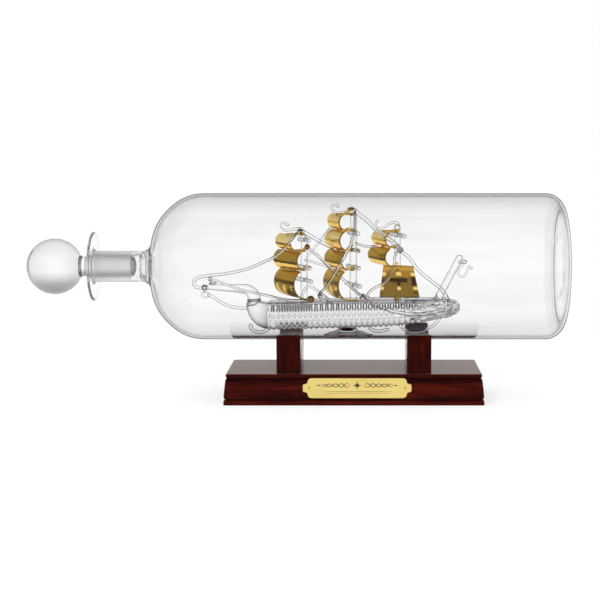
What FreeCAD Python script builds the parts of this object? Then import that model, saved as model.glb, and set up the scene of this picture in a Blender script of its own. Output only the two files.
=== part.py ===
import FreeCAD, Part
import math
import os
from FreeCAD import Vector

# Ship in a bottle: a lamp-worked glass clipper, fused to the inside of a
# horizontal glass bottle with a ground stopper, resting on a wooden stand.
# Millimetres, +Z up, origin on the table under the middle of the overall
# length.  +X runs from the stopper towards the closed end of the bottle,
# the nameplate side of the stand faces -Y.

# ----------------------------------------------------------------------
# driving dimensions
# ----------------------------------------------------------------------
END_X = 175.0           # closed end of the bottle
BALL_LEFT = -174.1      # outermost point of the stopper

# bottle
BOTTLE_R = 47.5         # outer radius of the tube
WALL = 2.0              # glass wall
AXIS_Z = 86.1           # height of the bottle's axis
HEEL_R = 12.0           # radius of the heel at the closed end
PUNT = 1.5              # depth of the hollow in the closed end
SHOULDER_X = -59.8      # where the tube meets the shoulder
NECK_X = -98.5          # where the shoulder meets the neck
NECK_R = 10.0
MOUTH_X = -131.6
FLANGE_R = 22.4
FLANGE_T = 1.4
# ground joint: the plug tapers and has a running clearance in the neck
PLUG_R_MOUTH = 7.55
PLUG_R_INNER = 6.95
PLUG_X_INNER = -106.7
PLUG_CLEAR = 0.05
PLUG_PROUD = 2.9        # how far the ground part stands out of the mouth
PLUG_WALL = 1.6
PLUG_TIP = 3.3
BALL_R = 17.95
BALL_WALL = 1.5
STEM_R = 6.4

# stand
STAND_X = 38.6
BASE_TOP = (163.4, 59.7)
BASE_BOTTOM = (166.3, 62.6)
BASE_H = 19.9
CRADLE_W = 15.3
CRADLE_D = 54.0
CRADLE_SPREAD = 41.7    # cradle centre to stand centre
CRADLE_TOP = 44.5
SEAT_CLEAR = 0.3
SCREW_R = 2.0
SCREW_HEAD_R = 3.9
SCREW_LEN = 28.0
PLATE_L = 69.2
PLATE_H = 12.9
PLATE_T = 1.0
PLATE_Z = 11.3
PLATE_TILT = 5.7        # the moulding's face leans back by this, degrees
PIN_R = 0.9

# ship
RIB_PITCH = 3.25
RIB_R = 0.85
RAIL_R = 0.8
SAIL_T = 0.9
HULL_Y = 0.0
MAST_R = 2.3

# hull stations: x, deck height, keel height, half breadth at the deck
STATIONS = [
    (-31.6, 61.4, 58.4, 1.3),
    (-30.6, 63.0, 55.1, 2.7),
    (-28.7, 63.9, 51.5, 4.2),
    (-25.4, 63.6, 47.9, 5.7),
    (-21.5, 62.6, 45.7, 6.9),
    (-17.6, 62.0, 44.9, 7.8),
    (-9.8, 62.1, 44.8, 8.9),
    (3.3, 62.5, 45.2, 9.6),
    (22.9, 63.1, 45.8, 9.9),
    (42.5, 63.5, 46.3, 9.9),
    (62.1, 63.6, 47.1, 9.5),
    (75.2, 63.7, 48.5, 8.6),
    (88.2, 63.8, 50.3, 7.2),
    (99.3, 64.1, 52.8, 5.4),
    (105.2, 63.4, 55.1, 4.2),
    (107.6, 61.1, 57.1, 2.2),
]
BOW_END = 5             # station index where the smooth bow ends
STERN_START = 13        # station index where the stern lump starts

os.makedirs("parts", exist_ok=True)


# ----------------------------------------------------------------------
# helpers
# ----------------------------------------------------------------------
def v(p):
    return Vector(p[0], p[1], p[2])


def save(name, shape):
    solids = shape.Solids
    if not solids:
        raise RuntimeError(name + " has no solid")
    ok = shape.isValid()
    print("%-18s solids %2d  volume %10.1f  valid %s" % (name, len(solids), shape.Volume, ok))
    shape.exportStep("parts/" + name + ".step")


def group(solids):
    out = []
    for s in solids:
        out.extend(s.Solids)
    return Part.makeCompound(out)


def fuse(solids):
    s = solids[0]
    if len(solids) > 1:
        s = s.fuse(solids[1:])
    return s.removeSplitter()


def rect_wire(lx, ly, z, cx=0.0, cy=0.0):
    pts = [
        Vector(cx - lx / 2, cy - ly / 2, z),
        Vector(cx + lx / 2, cy - ly / 2, z),
        Vector(cx + lx / 2, cy + ly / 2, z),
        Vector(cx - lx / 2, cy + ly / 2, z),
    ]
    return Part.makePolygon(pts + [pts[0]])


def frustum(lx0, ly0, z0, lx1, ly1, z1, cx=0.0):
    return Part.makeLoft([rect_wire(lx0, ly0, z0, cx), rect_wire(lx1, ly1, z1, cx)], True, True)


def revolve_x(edges, z=AXIS_Z):
    """Solid of a closed (x, r) outline, turned about the bottle's axis."""
    wire = Part.Wire(Part.__sortEdges__(edges))
    face = Part.Face(wire)
    return face.revolve(Vector(0, 0, z), Vector(1, 0, 0), 360.0)


def xr(x, r):
    return Vector(x, 0.0, AXIS_Z + r)


def seg(a, b):
    return Part.LineSegment(a, b).toShape()


def arc3(a, b, c):
    return Part.Arc(a, b, c).toShape()


def cap(x_rim, r_rim, rise):
    """Arc from a rim to the axis, centred on the axis, so it turns into part
    of a sphere.  rise is the axial distance from rim to pole."""
    rs = (r_rim * r_rim + rise * rise) / (2.0 * abs(rise))
    r = r_rim * 0.5
    sag = rs - math.sqrt(rs * rs - r * r)
    x = x_rim + rise - math.copysign(sag, rise)
    return arc3(xr(x_rim, r_rim), xr(x, r), xr(x_rim + rise, 0))


def route_wire(points):
    """Straight runs joined by tangent arcs, each as large as its runs allow."""
    pts = [v(p) for p in points]
    edges = []
    start = pts[0]
    radii = []
    for i in range(1, len(pts) - 1):
        a, b, c = pts[i - 1], pts[i], pts[i + 1]
        u = (b - a)
        w = (c - b)
        lu, lw = u.Length, w.Length
        u.normalize()
        w.normalize()
        turn = math.acos(max(-1.0, min(1.0, u.dot(w))))
        if turn < 0.01:
            continue
        cut = 0.45 * min(lu, lw)
        radii.append(cut / math.tan(turn / 2.0))
        p0 = b - u * cut
        p1 = b + w * cut
        bis = (w - u)
        bis.normalize()
        r = radii[-1]
        centre = b + bis * (r / math.cos(turn / 2.0))
        mid = centre - bis * r
        if (p0 - start).Length > 1e-6:
            edges.append(seg(start, p0))
        edges.append(arc3(p0, mid, p1))
        start = p1
    edges.append(seg(start, pts[-1]))
    return Part.Wire(edges), (min(radii) if radii else 0.0)


def ball(p, r):
    return Part.makeSphere(r, v(p))


def rod(points, r, name=""):
    """Drawn glass rod: a round section along a route."""
    wire, tight = route_wire(points)
    first = wire.Edges[0]
    p = first.valueAt(first.FirstParameter)
    d = first.tangentAt(first.FirstParameter)
    prof = Part.Wire([Part.makeCircle(r, p, d)])
    s = wire.makePipeShell([prof], True, False)
    if s.Volume < 0:
        s.reverse()
    want = math.pi * r * r * wire.Length
    print("  rod %-16s length %6.1f  tightest radius %5.2f  volume/expected %.3f" % (name, wire.Length, tight, s.Volume / want))
    return s


def straight(p, q, r):
    a, b = v(p), v(q)
    return Part.makeCylinder(r, (b - a).Length, a, b - a)


def capped(p, q, r):
    """Rod with fire-rounded ends."""
    return fuse([straight(p, q, r), ball(p, r), ball(q, r)])


def taper(points, radii):
    """Drawn glass of changing thickness: cones between rounded stations."""
    parts = []
    for i in range(len(points) - 1):
        a, b = v(points[i]), v(points[i + 1])
        r0, r1 = radii[i], radii[i + 1]
        if abs(r0 - r1) < 1e-4:
            parts.append(Part.makeCylinder(r0, (b - a).Length, a, b - a))
        else:
            parts.append(Part.makeCone(r0, r1, (b - a).Length, a, b - a))
    for p, r in zip(points, radii):
        parts.append(ball(p, r))
    return fuse(parts)


def station(x):
    """Hull section at x, between the stations: deck z, keel z, half breadth."""
    for a, b in zip(STATIONS, STATIONS[1:]):
        if a[0] <= x <= b[0]:
            t = (x - a[0]) / (b[0] - a[0])
            return tuple(a[i] + t * (b[i] - a[i]) for i in (1, 2, 3))
    raise ValueError(x)


def hull_wire(st, grow=0.0):
    x, zt, zb, hb = st
    a = Vector(x, -hb - grow, zt)
    b = Vector(x, 0, zb - grow)
    c = Vector(x, hb + grow, zt)
    return Part.Wire([arc3(a, b, c), seg(c, a)])


def hull_loft(stations):
    return Part.makeLoft([hull_wire(s) for s in stations], True, True)


# ----------------------------------------------------------------------
# stand
# ----------------------------------------------------------------------
bx, by = BASE_BOTTOM
tx, ty = BASE_TOP
base = fuse([
    frustum(bx, by, 0.0, bx, by, 3.0, STAND_X),
    frustum(bx - 1.6, by - 1.6, 3.0, bx - 1.6, by - 1.6, 4.4, STAND_X),
    frustum(bx - 0.4, by - 0.4, 4.4, tx + 0.4, ty + 0.4, 16.6, STAND_X),
    frustum(tx - 1.2, ty - 1.2, 16.6, tx - 1.2, ty - 1.2, 18.0, STAND_X),
    frustum(tx, ty, 18.0, tx, ty, BASE_H, STAND_X),
])

cradles = []
screws = []
for side in (-1, 1):
    cx = STAND_X + side * CRADLE_SPREAD
    block = Part.makeBox(CRADLE_W, CRADLE_D, CRADLE_TOP - BASE_H,
                         Vector(cx - CRADLE_W / 2, -CRADLE_D / 2, BASE_H))
    seat = Part.makeCylinder(BOTTLE_R + SEAT_CLEAR, CRADLE_W + 4,
                             Vector(cx - CRADLE_W / 2 - 2, 0, AXIS_Z), Vector(1, 0, 0))
    block = block.cut(seat)
    for y in (-15.0, 15.0):
        # wood screw from below: head sunk in the base, shank into the cradle
        shank = Part.makeCylinder(SCREW_R, SCREW_LEN, Vector(cx, y, 3.0))
        head = Part.makeCone(SCREW_HEAD_R, SCREW_R, 2.6, Vector(cx, y, 3.0))
        screw = shank.fuse(head).removeSplitter()
        screws.append(screw)
        hole = fuse([
            Part.makeCylinder(SCREW_HEAD_R, 3.0, Vector(cx, y, 0.0)),
            Part.makeCone(SCREW_HEAD_R, SCREW_R, 2.6, Vector(cx, y, 3.0)),
            Part.makeCylinder(SCREW_R, SCREW_LEN, Vector(cx, y, 3.0)),
        ])
        base = base.cut(hole)
        block = block.cut(hole)
    cradles.append(block)

# nameplate: brass, with stepped ticket ends, pinned to the leaning face
hl, hh = PLATE_L / 2, PLATE_H / 2
outline = [
    (-hl + 5.6, -hh), (-hl + 3.2, -hh + 1.6), (-hl + 2.2, -hh + 3.6),
    (-hl, -hh + 4.4), (-hl, hh - 4.4), (-hl + 2.2, hh - 3.6),
    (-hl + 3.2, hh - 1.6), (-hl + 5.6, hh),
]
outline = outline + [(-x, z) for x, z in reversed(outline)]
poly = [Vector(x, 0, z) for x, z in outline]
plate = Part.Face(Part.makePolygon(poly + [poly[0]])).extrude(Vector(0, -PLATE_T, 0))
pins = []
for sx in (-1, 1):
    x = sx * (hl - 4.0)
    hole = Part.makeCylinder(PIN_R * 0.7, PLATE_T + 2, Vector(x, 1, 0), Vector(0, -1, 0))
    plate = plate.cut(hole)
    shank = Part.makeCylinder(PIN_R * 0.7, 5.0 + PLATE_T, Vector(x, 5.0, 0), Vector(0, -1, 0))
    dome = ball((x, -PLATE_T + 0.75, 0), 1.15).common(
        Part.makeBox(4, 2, 4, Vector(x - 2, -PLATE_T - 2, -2)))
    pins.append(shank.fuse(dome).removeSplitter())
face_y = -(by / 2 - 0.2) + (by - 0.4 - ty - 0.4) / 2 * (PLATE_Z - 4.4) / 12.2
for s in [plate] + pins:
    s.rotate(Vector(0, 0, 0), Vector(1, 0, 0), -PLATE_TILT)
    s.translate(Vector(STAND_X + 2.1, face_y - 0.12, PLATE_Z))
for s in pins:
    base = base.cut(s)

save("stand_base", base)
save("cradle_left", cradles[0])
save("cradle_right", cradles[1])
save("cradle_screws", group(screws))
save("nameplate", plate)
save("nameplate_pins", group(pins))

# ----------------------------------------------------------------------
# bottle
# ----------------------------------------------------------------------
R, W = BOTTLE_R, WALL
heel_x = END_X - HEEL_R

tube = revolve_x([
    seg(xr(SHOULDER_X, R), xr(heel_x, R)), seg(xr(heel_x, R), xr(heel_x, R - W)),
    seg(xr(heel_x, R - W), xr(SHOULDER_X, R - W)), seg(xr(SHOULDER_X, R - W), xr(SHOULDER_X, R)),
])
save("bottle_tube", tube)

c45 = math.cos(math.radians(45))
hr, hi = HEEL_R, HEEL_R - W
end = revolve_x([
    arc3(xr(heel_x, R), xr(heel_x + hr * c45, R - hr + hr * c45), xr(END_X, R - hr)),
    cap(END_X, R - hr, -PUNT),
    seg(xr(END_X - PUNT, 0), xr(END_X - PUNT - W, 0)),
    cap(END_X - W, R - hr, -PUNT),
    arc3(xr(END_X - W, R - hr), xr(heel_x + hi * c45, R - hr + hi * c45), xr(heel_x, R - W)),
    seg(xr(heel_x, R - W), xr(heel_x, R)),
])
save("bottle_end", end)

outer = [(NECK_X, NECK_R), (-95.0, 11.7), (-92.6, 15.9), (-90.9, 23.2), (-87.6, 30.2),
         (-82.4, 36.7), (-74.6, 43.0), (-67.4, 46.4), (SHOULDER_X, R)]
inner = []
for k, (ox, orad) in enumerate(outer):
    if k == 0 or k == len(outer) - 1:
        tdir = (1.0, 0.0)
    else:
        tdir = (outer[k + 1][0] - outer[k - 1][0], outer[k + 1][1] - outer[k - 1][1])
    n = math.hypot(*tdir)
    wall = 2.4 if k == 0 else WALL
    inner.append((ox + tdir[1] / n * wall, orad - tdir[0] / n * wall))
edges = []
for k in range(0, 8, 2):
    edges.append(arc3(xr(*outer[k]), xr(*outer[k + 1]), xr(*outer[k + 2])))
    edges.append(arc3(xr(*inner[k]), xr(*inner[k + 1]), xr(*inner[k + 2])))
edges.append(seg(xr(*outer[0]), xr(*inner[0])))
edges.append(seg(xr(*outer[-1]), xr(*inner[-1])))
save("bottle_shoulder", revolve_x(edges))

slope = (PLUG_R_MOUTH - PLUG_R_INNER) / (PLUG_X_INNER - (MOUTH_X - PLUG_PROUD))


def plug_r(x):
    return PLUG_R_MOUTH - slope * (x - (MOUTH_X - PLUG_PROUD))


bore0 = plug_r(MOUTH_X) + PLUG_CLEAR
bore1 = plug_r(PLUG_X_INNER) + PLUG_CLEAR
neck = revolve_x([
    seg(xr(MOUTH_X, NECK_R), xr(NECK_X, NECK_R)),
    seg(xr(NECK_X, NECK_R), xr(NECK_X, NECK_R - 2.4)),
    seg(xr(NECK_X, NECK_R - 2.4), xr(PLUG_X_INNER + 4.5, NECK_R - 2.4)),
    seg(xr(PLUG_X_INNER + 4.5, NECK_R - 2.4), xr(PLUG_X_INNER, bore1)),
    seg(xr(PLUG_X_INNER, bore1), xr(MOUTH_X, bore0)),
    seg(xr(MOUTH_X, bore0), xr(MOUTH_X, NECK_R)),
])
save("bottle_neck", neck)

ft = FLANGE_T
flange = revolve_x([
    seg(xr(MOUTH_X, NECK_R), xr(MOUTH_X, FLANGE_R - ft / 2)),
    arc3(xr(MOUTH_X, FLANGE_R - ft / 2), xr(MOUTH_X + ft / 2, FLANGE_R), xr(MOUTH_X + ft, FLANGE_R - ft / 2)),
    seg(xr(MOUTH_X + ft, FLANGE_R - ft / 2), xr(MOUTH_X + ft, NECK_R + 1.2)),
    arc3(xr(MOUTH_X + ft, NECK_R + 1.2), xr(MOUTH_X + ft + 1.2 * (1 - c45), NECK_R + 1.2 * (1 - c45)), xr(MOUTH_X + ft + 1.2, NECK_R)),
    seg(xr(MOUTH_X + ft + 1.2, NECK_R), xr(MOUTH_X, NECK_R)),
])
save("mouth_flange", flange)

# ----------------------------------------------------------------------
# stopper: a hollow blown ball on a short stem, fused to the ground plug
# ----------------------------------------------------------------------
ball_x = BALL_LEFT + BALL_R
px0 = MOUTH_X - PLUG_PROUD
fil = 3.4                                   # fillet between ball and stem
dist = math.sqrt((BALL_R + fil) ** 2 - (STEM_R + fil) ** 2)
fx = ball_x + dist                          # centre of the fillet's arc
t = BALL_R / (BALL_R + fil)
tx_, tr_ = ball_x + dist * t, (STEM_R + fil) * t
ang = math.atan2(tr_, tx_ - ball_x)
mid_a = (ang + math.pi) / 2
fa = (math.pi + ang + 1.5 * math.pi) / 2
rin = BALL_R - BALL_WALL
sb = STEM_R - 1.7                           # bore of the stem
ix = ball_x + math.sqrt(rin ** 2 - sb ** 2)
ia = (math.atan2(sb, ix - ball_x) + math.pi) / 2
knob = revolve_x([
    arc3(xr(BALL_LEFT, 0), xr(ball_x + BALL_R * math.cos(mid_a), BALL_R * math.sin(mid_a)), xr(tx_, tr_)),
    arc3(xr(tx_, tr_), xr(fx + fil * math.cos(fa), STEM_R + fil + fil * math.sin(fa)), xr(fx, STEM_R)),
    seg(xr(fx, STEM_R), xr(px0 - 0.6, STEM_R)),
    seg(xr(px0 - 0.6, STEM_R), xr(px0 - 0.6, sb)),
    seg(xr(px0 - 0.6, sb), xr(ix, sb)),
    arc3(xr(ix, sb), xr(ball_x + rin * math.cos(ia), rin * math.sin(ia)), xr(ball_x - rin, 0)),
    seg(xr(ball_x - rin, 0), xr(BALL_LEFT, 0)),
])
save("stopper_knob", knob)

pr0, pr1 = PLUG_R_MOUTH, PLUG_R_INNER
px1 = PLUG_X_INNER
plug = revolve_x([
    seg(xr(px0 - 0.6, sb), xr(px0 - 0.6, STEM_R)),
    seg(xr(px0 - 0.6, STEM_R), xr(px0, pr0)),
    seg(xr(px0, pr0), xr(px1, pr1)),
    cap(px1, pr1, PLUG_TIP),
    seg(xr(px1 + PLUG_TIP, 0), xr(px1 + PLUG_TIP - PLUG_WALL, 0)),
    cap(px1, pr1 - PLUG_WALL, PLUG_TIP - PLUG_WALL),
    seg(xr(px1, pr1 - PLUG_WALL), xr(px0 + 1.0, pr0 - PLUG_WALL)),
    seg(xr(px0 + 1.0, pr0 - PLUG_WALL), xr(px0 - 0.6, sb)),
])
save("stopper_plug", plug)

# ----------------------------------------------------------------------
# hull and what carries it
# ----------------------------------------------------------------------
ped_x = 34.3
prof = [(0, 38.0), (16.5, 38.0), (15.2, 43.0), (10.0, 43.7), (6.9, 44.7), (6.2, 46.6), (0, 46.6)]
pw = Part.makePolygon([Vector(ped_x + r, 0, z) for r, z in prof] + [Vector(ped_x, 0, 38.0)])
ped = Part.Face(pw).revolve(Vector(ped_x, 0, 0), Vector(0, 0, 1), 360.0)
bore = Part.makeCylinder(R - W, 80, Vector(ped_x - 40, 0, AXIS_Z), Vector(1, 0, 0))
hull_bow = hull_loft(STATIONS[:BOW_END + 1])
hull_body = hull_loft(STATIONS[BOW_END:STERN_START + 1])
stern = hull_loft(STATIONS[STERN_START:])
ped = ped.common(bore).cut(hull_body)
save("hull_bow", hull_bow)
save("hull_body", hull_body)
save("stern_lump", stern)

ribs = []
x = STATIONS[BOW_END][0] + 1.6
while x < 84.0:
    zt, zb, hb = station(x)
    g = 0.25
    a = Vector(x, -hb - g, zt - 0.6)
    b = Vector(x, 0, zb - g)
    c = Vector(x, hb + g, zt - 0.6)
    edge = arc3(a, b, c)
    tang = edge.tangentAt(edge.FirstParameter)
    disc = Part.Face(Part.Wire([Part.makeCircle(RIB_R, a, tang)]))
    circ = edge.Curve
    sweep = math.degrees(edge.LastParameter - edge.FirstParameter)
    axis = circ.Axis
    rib = disc.revolve(circ.Center, axis, sweep)
    ribs.append(rib.cut(hull_body))
    x += RIB_PITCH
save("hull_ribs", group(ribs))
for rib in ribs:
    if rib.BoundBox.intersect(ped.BoundBox):
        ped = ped.cut(rib)
save("pedestal", ped)

rails = []
for s in (-1, 1):
    pts = []
    for i in range(BOW_END, STERN_START + 1):
        sx, zt, zb, hb = STATIONS[i]
        pts.append((sx, s * (hb - 0.6), zt + 0.65))
    rings = [Part.Wire([Part.makeCircle(RAIL_R, v(p), Vector(1, 0, 0))]) for p in pts]
    rail = Part.makeLoft(rings, True, True)
    if rail.Volume < 0:
        rail.reverse()
    rails.append(rail)
save("deck_rails", group(rails))

# ----------------------------------------------------------------------
# bowsprit and its fittings
# ----------------------------------------------------------------------
sprit = [(-26.6, 62.0, 4.3), (-26.7, 65.0, 4.3), (-27.6, 68.1, 4.04), (-30.3, 70.6, 3.46),
         (-34.5, 71.5, 3.0), (-39.7, 71.8, 2.61), (-45.6, 72.0, 2.22), (-51.5, 72.2, 1.83),
         (-56.7, 72.4, 1.5)]
save("bowsprit", taper([(x, 0, z) for x, z, r in sprit], [r for x, z, r in sprit]).cut(hull_bow))
save("bowsprit_fittings", group([
    fuse([ball((-55.0, -3.0, 78.1), 1.5), straight((-55.0, -3.0, 78.1), (-54.3, -2.4, 75.6), 0.9)]),
    Part.makeTorus(1.9, 0.7, Vector(-53.2, -2.4, 75.2), Vector(0, 0, 1)),
    ball((-58.9, 0, 72.3), 1.9),
    Part.makeTorus(2.2, 0.75, Vector(-58.3, 0, 67.6), Vector(0, 1, 0)),
    capped((-58.9, 0, 72.3), (-58.7, 0, 69.6), 0.9),
]))
save("bobstay", rod([(-56.1, 0, 67.3), (-52.8, 0, 65.6), (-48.3, 0, 62.5), (-42.5, 0, 59.9),
                     (-36.6, 0, 58.8), (-30.7, 0, 58.6)], 1.0, "bobstay"))
save("bow_hook", rod([(-17.1, 0, 45.2), (-20.7, 0, 42.9), (-25.0, 0, 42.7), (-28.2, 0, 44.4),
                      (-29.1, 0, 47.0)], 0.9, "bow hook"))
save("keel_hook", rod([(48.3, 0, 46.6), (50.4, 0, 44.2), (54.0, 0, 43.1), (57.6, 0, 43.6),
                       (60.6, 0, 44.4)], 0.9, "keel hook"))
save("rudder_loop", rod([(68.7, 0, 47.2), (71.3, 0, 44.6), (75.2, 0, 43.0), (79.8, 0, 42.8),
                         (84.4, 0, 44.0), (88.3, 0, 45.9), (91.6, 0, 48.2), (94.5, 0, 51.4)], 1.0, "rudder loop"))

# ----------------------------------------------------------------------
# masts and yards
# ----------------------------------------------------------------------
foremast = taper([(6.0, 0, 61.5), (6.1, 0, 103.9), (4.8, 0, 107.2), (3.9, 0, 109.6)],
                 [2.3, 2.2, 1.9, 2.3]).cut(hull_body)
mainmast = taper([(38.1, 0, 62.2), (38.2, 0, 119.4), (37.4, 0, 122.9)], [2.4, 2.2, 2.4]).cut(hull_body)
mizzenmast = taper([(67.0, 0, 62.5), (66.8, 0, 111.4)], [2.3, 2.0]).cut(hull_body)
save("foremast", foremast)
save("mainmast", mainmast)
save("mizzenmast", mizzenmast)


def yard(mx, z, length, yaw, r=1.3, my=0.0):
    s, c = math.sin(math.radians(yaw)), math.cos(math.radians(yaw))
    h = length / 2 - r
    return capped((mx - s * h, my + c * h, z), (mx + s * h, my - c * h, z), r)


def yards(rows, mast):
    out = []
    for mx, z, length, yaw in rows:
        out.extend(yard(mx, z, length, yaw).cut(mast).Solids)
    return Part.makeCompound(out)


save("fore_yards", yards([(6.1, 103.4, 17, 28), (6.1, 85.6, 19, 28), (6.0, 77.2, 24, 28)], foremast))
save("main_yards", yards([(38.2, 107.8, 18, 22), (38.1, 96.8, 20, 22), (38.1, 85.7, 22, 22),
                          (38.1, 74.1, 26, 22)], mainmast))
save("mizzen_yards", yards([(66.9, 106.4, 24, 23)], mizzenmast))


# ----------------------------------------------------------------------
# sails: gilded glass sheets, bellied towards the bow
# ----------------------------------------------------------------------
def sail(mast_x, ahead, zt, zb, width, belly, yaw):
    c = zt - zb
    rad = (c * c / 4 + belly * belly) / (2 * belly)
    zm = (zt + zb) / 2
    cen = belly - rad                      # centre of the arc, ahead of the chord
    half = math.atan2(c / 2, -cen)
    if cen > 0:
        half = math.pi - math.atan2(c / 2, cen)

    def pt(rr, a):
        return Vector(-(cen + rr * math.cos(a)), 0, zm + rr * math.sin(a))

    ri = rad - SAIL_T
    e = [arc3(pt(rad, half), pt(rad, 0), pt(rad, -half)),
         seg(pt(rad, -half), pt(ri, -half)),
         arc3(pt(ri, -half), pt(ri, 0), pt(ri, half)),
         seg(pt(ri, half), pt(rad, half))]
    sheet = Part.Face(Part.Wire(e)).extrude(Vector(0, width, 0))
    sheet.translate(Vector(-ahead, -width / 2, 0))
    zl = zt - 0.55
    tie = straight((-ahead - 0.4, 0, zl), (0, 0, zl), 0.9)
    s = fuse([sheet, tie])
    s.rotate(Vector(0, 0, 0), Vector(0, 0, 1), yaw)
    s.translate(Vector(mast_x, 0, 0))
    return s


sails = {
    "fore_topgallant": (5.6, 11.2, 107.5, 97.4, 24.0, 3.4, 25.0),
    "fore_topsail": (6.1, 10.8, 96.9, 85.0, 30.0, 3.6, 32.0),
    "fore_course": (6.1, 10.0, 84.5, 67.4, 30.0, 4.8, 27.0),
    "main_royal": (38.2, 11.1, 120.4, 110.6, 24.0, 2.8, 18.0),
    "main_topgallant": (38.2, 10.9, 110.1, 97.5, 28.0, 4.0, 20.0),
    "main_topsail": (38.1, 10.6, 97.0, 85.0, 30.0, 3.8, 21.5),
    "main_course": (38.1, 11.4, 84.5, 66.2, 30.0, 4.4, 19.0),
    "mizzen_topgallant": (66.8, 10.0, 109.4, 99.5, 24.0, 3.4, 20.0),
    "mizzen_topsail": (66.9, 11.3, 99.0, 87.6, 28.0, 3.8, 21.5),
}
for name, a in sails.items():
    save(name, sail(*a))

# the fore-and-aft sail at the stern is a nearly flat gilded sheet
sp = [(57.6, 87.0), (77.0, 86.6), (79.4, 80.5), (81.3, 66.2), (55.1, 66.2), (56.4, 80.0)]
spf = Part.Face(Part.makePolygon([Vector(x, -4.4, z) for x, z in sp] + [Vector(sp[0][0], -4.4, sp[0][1])]))
save("spanker", fuse([spf.extrude(Vector(0, SAIL_T, 0)),
                      straight((66.9, -4.2, 84.0), (66.9, -1.0, 84.0), 1.0),
                      straight((66.5, -3.9, 64.0), (66.5, -3.9, 67.5), 1.2)]))

# ----------------------------------------------------------------------
# rigging: drawn glass rods
# ----------------------------------------------------------------------
save("forestay", rod([(3.3, -3, 109), (2.4, -11, 108.7), (1.1, -17.5, 107.5), (-1.7, -20.5, 103.9), (-5.8, -20.5,
                      99.1), (-11.7, -17.5, 94), (-20.4, -13, 89.6), (-28.4, -9.5, 85.9), (-38.4, -6, 83), (-48.4, -3,
                      81.1), (-57.1, -1, 80), (-63.1, 0, 78.5), (-65.9, 0, 76.2), (-65.5, 0, 73.5), (-62.6, 0, 72),
                      (-57.3, 0, 71.9)], 0.95, "forestay"))
save("jib_stay", rod([(-54.7, -3, 78.1), (-50.3, -4, 76.9), (-45, -5.5, 75.1), (-38.4, -7.5, 73), (-31.1, -9.5, 71.1),
                      (-23.3, -11, 69.5), (-15.5, -12.5, 68.1), (-8.3, -13, 66.4), (-1.2, -13, 65.4), (5.2, -12,
                      65.4), (9.8, -10.5, 66.2)], 0.8, "jib stay"))
save("fore_main_stay", rod([(5.5, 0, 108.8), (11.3, 0, 105.4), (17.8, 0.4, 101.6), (24.9, 1, 97.9), (27, 1.2, 97)], 1.2, "fore-main stay"))
save("topmast_stay", rod([(23.5, 6, 111.3), (17.0, 4, 103.1), (8.6, 1, 92.8)], 0.7, "topmast stay"))
save("fore_brace", rod([(9, -17.5, 99.8), (17.1, -20.5, 93.4), (24.1, -22, 86.8), (29.8, -22, 81.7), (35.5, -19, 75.9),
                        (39.9, -15, 71.3), (43.8, -11, 67.6)], 0.9, "fore brace"))
save("main_shroud", rod([(39.3, -2, 121.6), (39.2, -8, 116.1), (38.7, -14.5, 109.5), (36.8, -20, 102.2), (33.6, -22.5,
                         95.8), (29.5, -22.9, 89.1), (25.3, -21.5, 81.9), (20.7, -17, 74.4), (16.7, -12.5, 69.4), (17.4,
                         -10.2, 66.3), (21.8, -9.2, 63.4)], 0.9, "main shroud"))
save("main_backstay", rod([(38.9, -1, 122.5), (46.4, -6, 116.7), (52.7, -12.5, 111), (59.1, -18.4, 106.4), (63.5, -18.4,
                           103.2), (66.9, -12, 100.1), (68.3, -6, 97.3)], 1.4, "main backstay"))
save("mizzen_backstay", rod([(68.7, -5.6, 96.9), (74.1, -7, 92.3), (78.7, -7.5, 86.1), (82.6, -7, 82.1), (88.5, -6, 77.3),
                             (94.4, -5, 72.5), (97.7, -4, 68.4), (100.4, -3, 63.7)], 1.1, "mizzen backstay"))
save("mizzen_shroud", rod([(66.7, -7, 96.7), (64.9, -10.5, 93.1), (64.5, -13, 88.2), (61.8, -14, 81.5), (57.3, -13.8,
                           76.3), (51.5, -12.5, 73), (47.9, -11, 69.5), (46.4, -9, 64.6)], 0.9, "mizzen shroud"))
swags = []
for s in (1, -1):
    swags.append(rod([(x, s * y, z) for x, y, z in [
        (44.4, -9.3, 66.2), (46.9, -11.0, 64.6), (51.5, -12.0, 62.5), (58.0, -12.3, 60.1), (65.1, -12.2, 57.8),
        (72.8, -11.6, 56.5), (81.3, -10.7, 56.3), (89.1, -9.7, 57.0), (96.9, -8.2, 58.6)]], 1.1, "side swag"))
save("side_swags", group(swags))
save("short_stays", group([
    rod([(39.5, 0, 101.3), (44.5, 3, 99.3), (49.2, 5.6, 98.6), (53.4, 8, 99.0)], 0.8, "short stay"),
    rod([(7.0, 0, 90.3), (13.8, 2, 88.2), (20.9, 4, 85.6), (25.4, 5, 84.2)], 0.8, "short stay"),
]))
save("fore_ratline", rod([(5.5, -7.2, 62.6), (5.2, -8, 67.2), (6.3, -8, 71.2), (8.6, -8.2, 73.6), (11.4, -8.4, 73.3),
                          (15.3, -8.5, 70.8), (19.9, -8.5, 67.5), (23.7, -8.2, 63.6)], 0.8, "fore ratline"))

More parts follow.
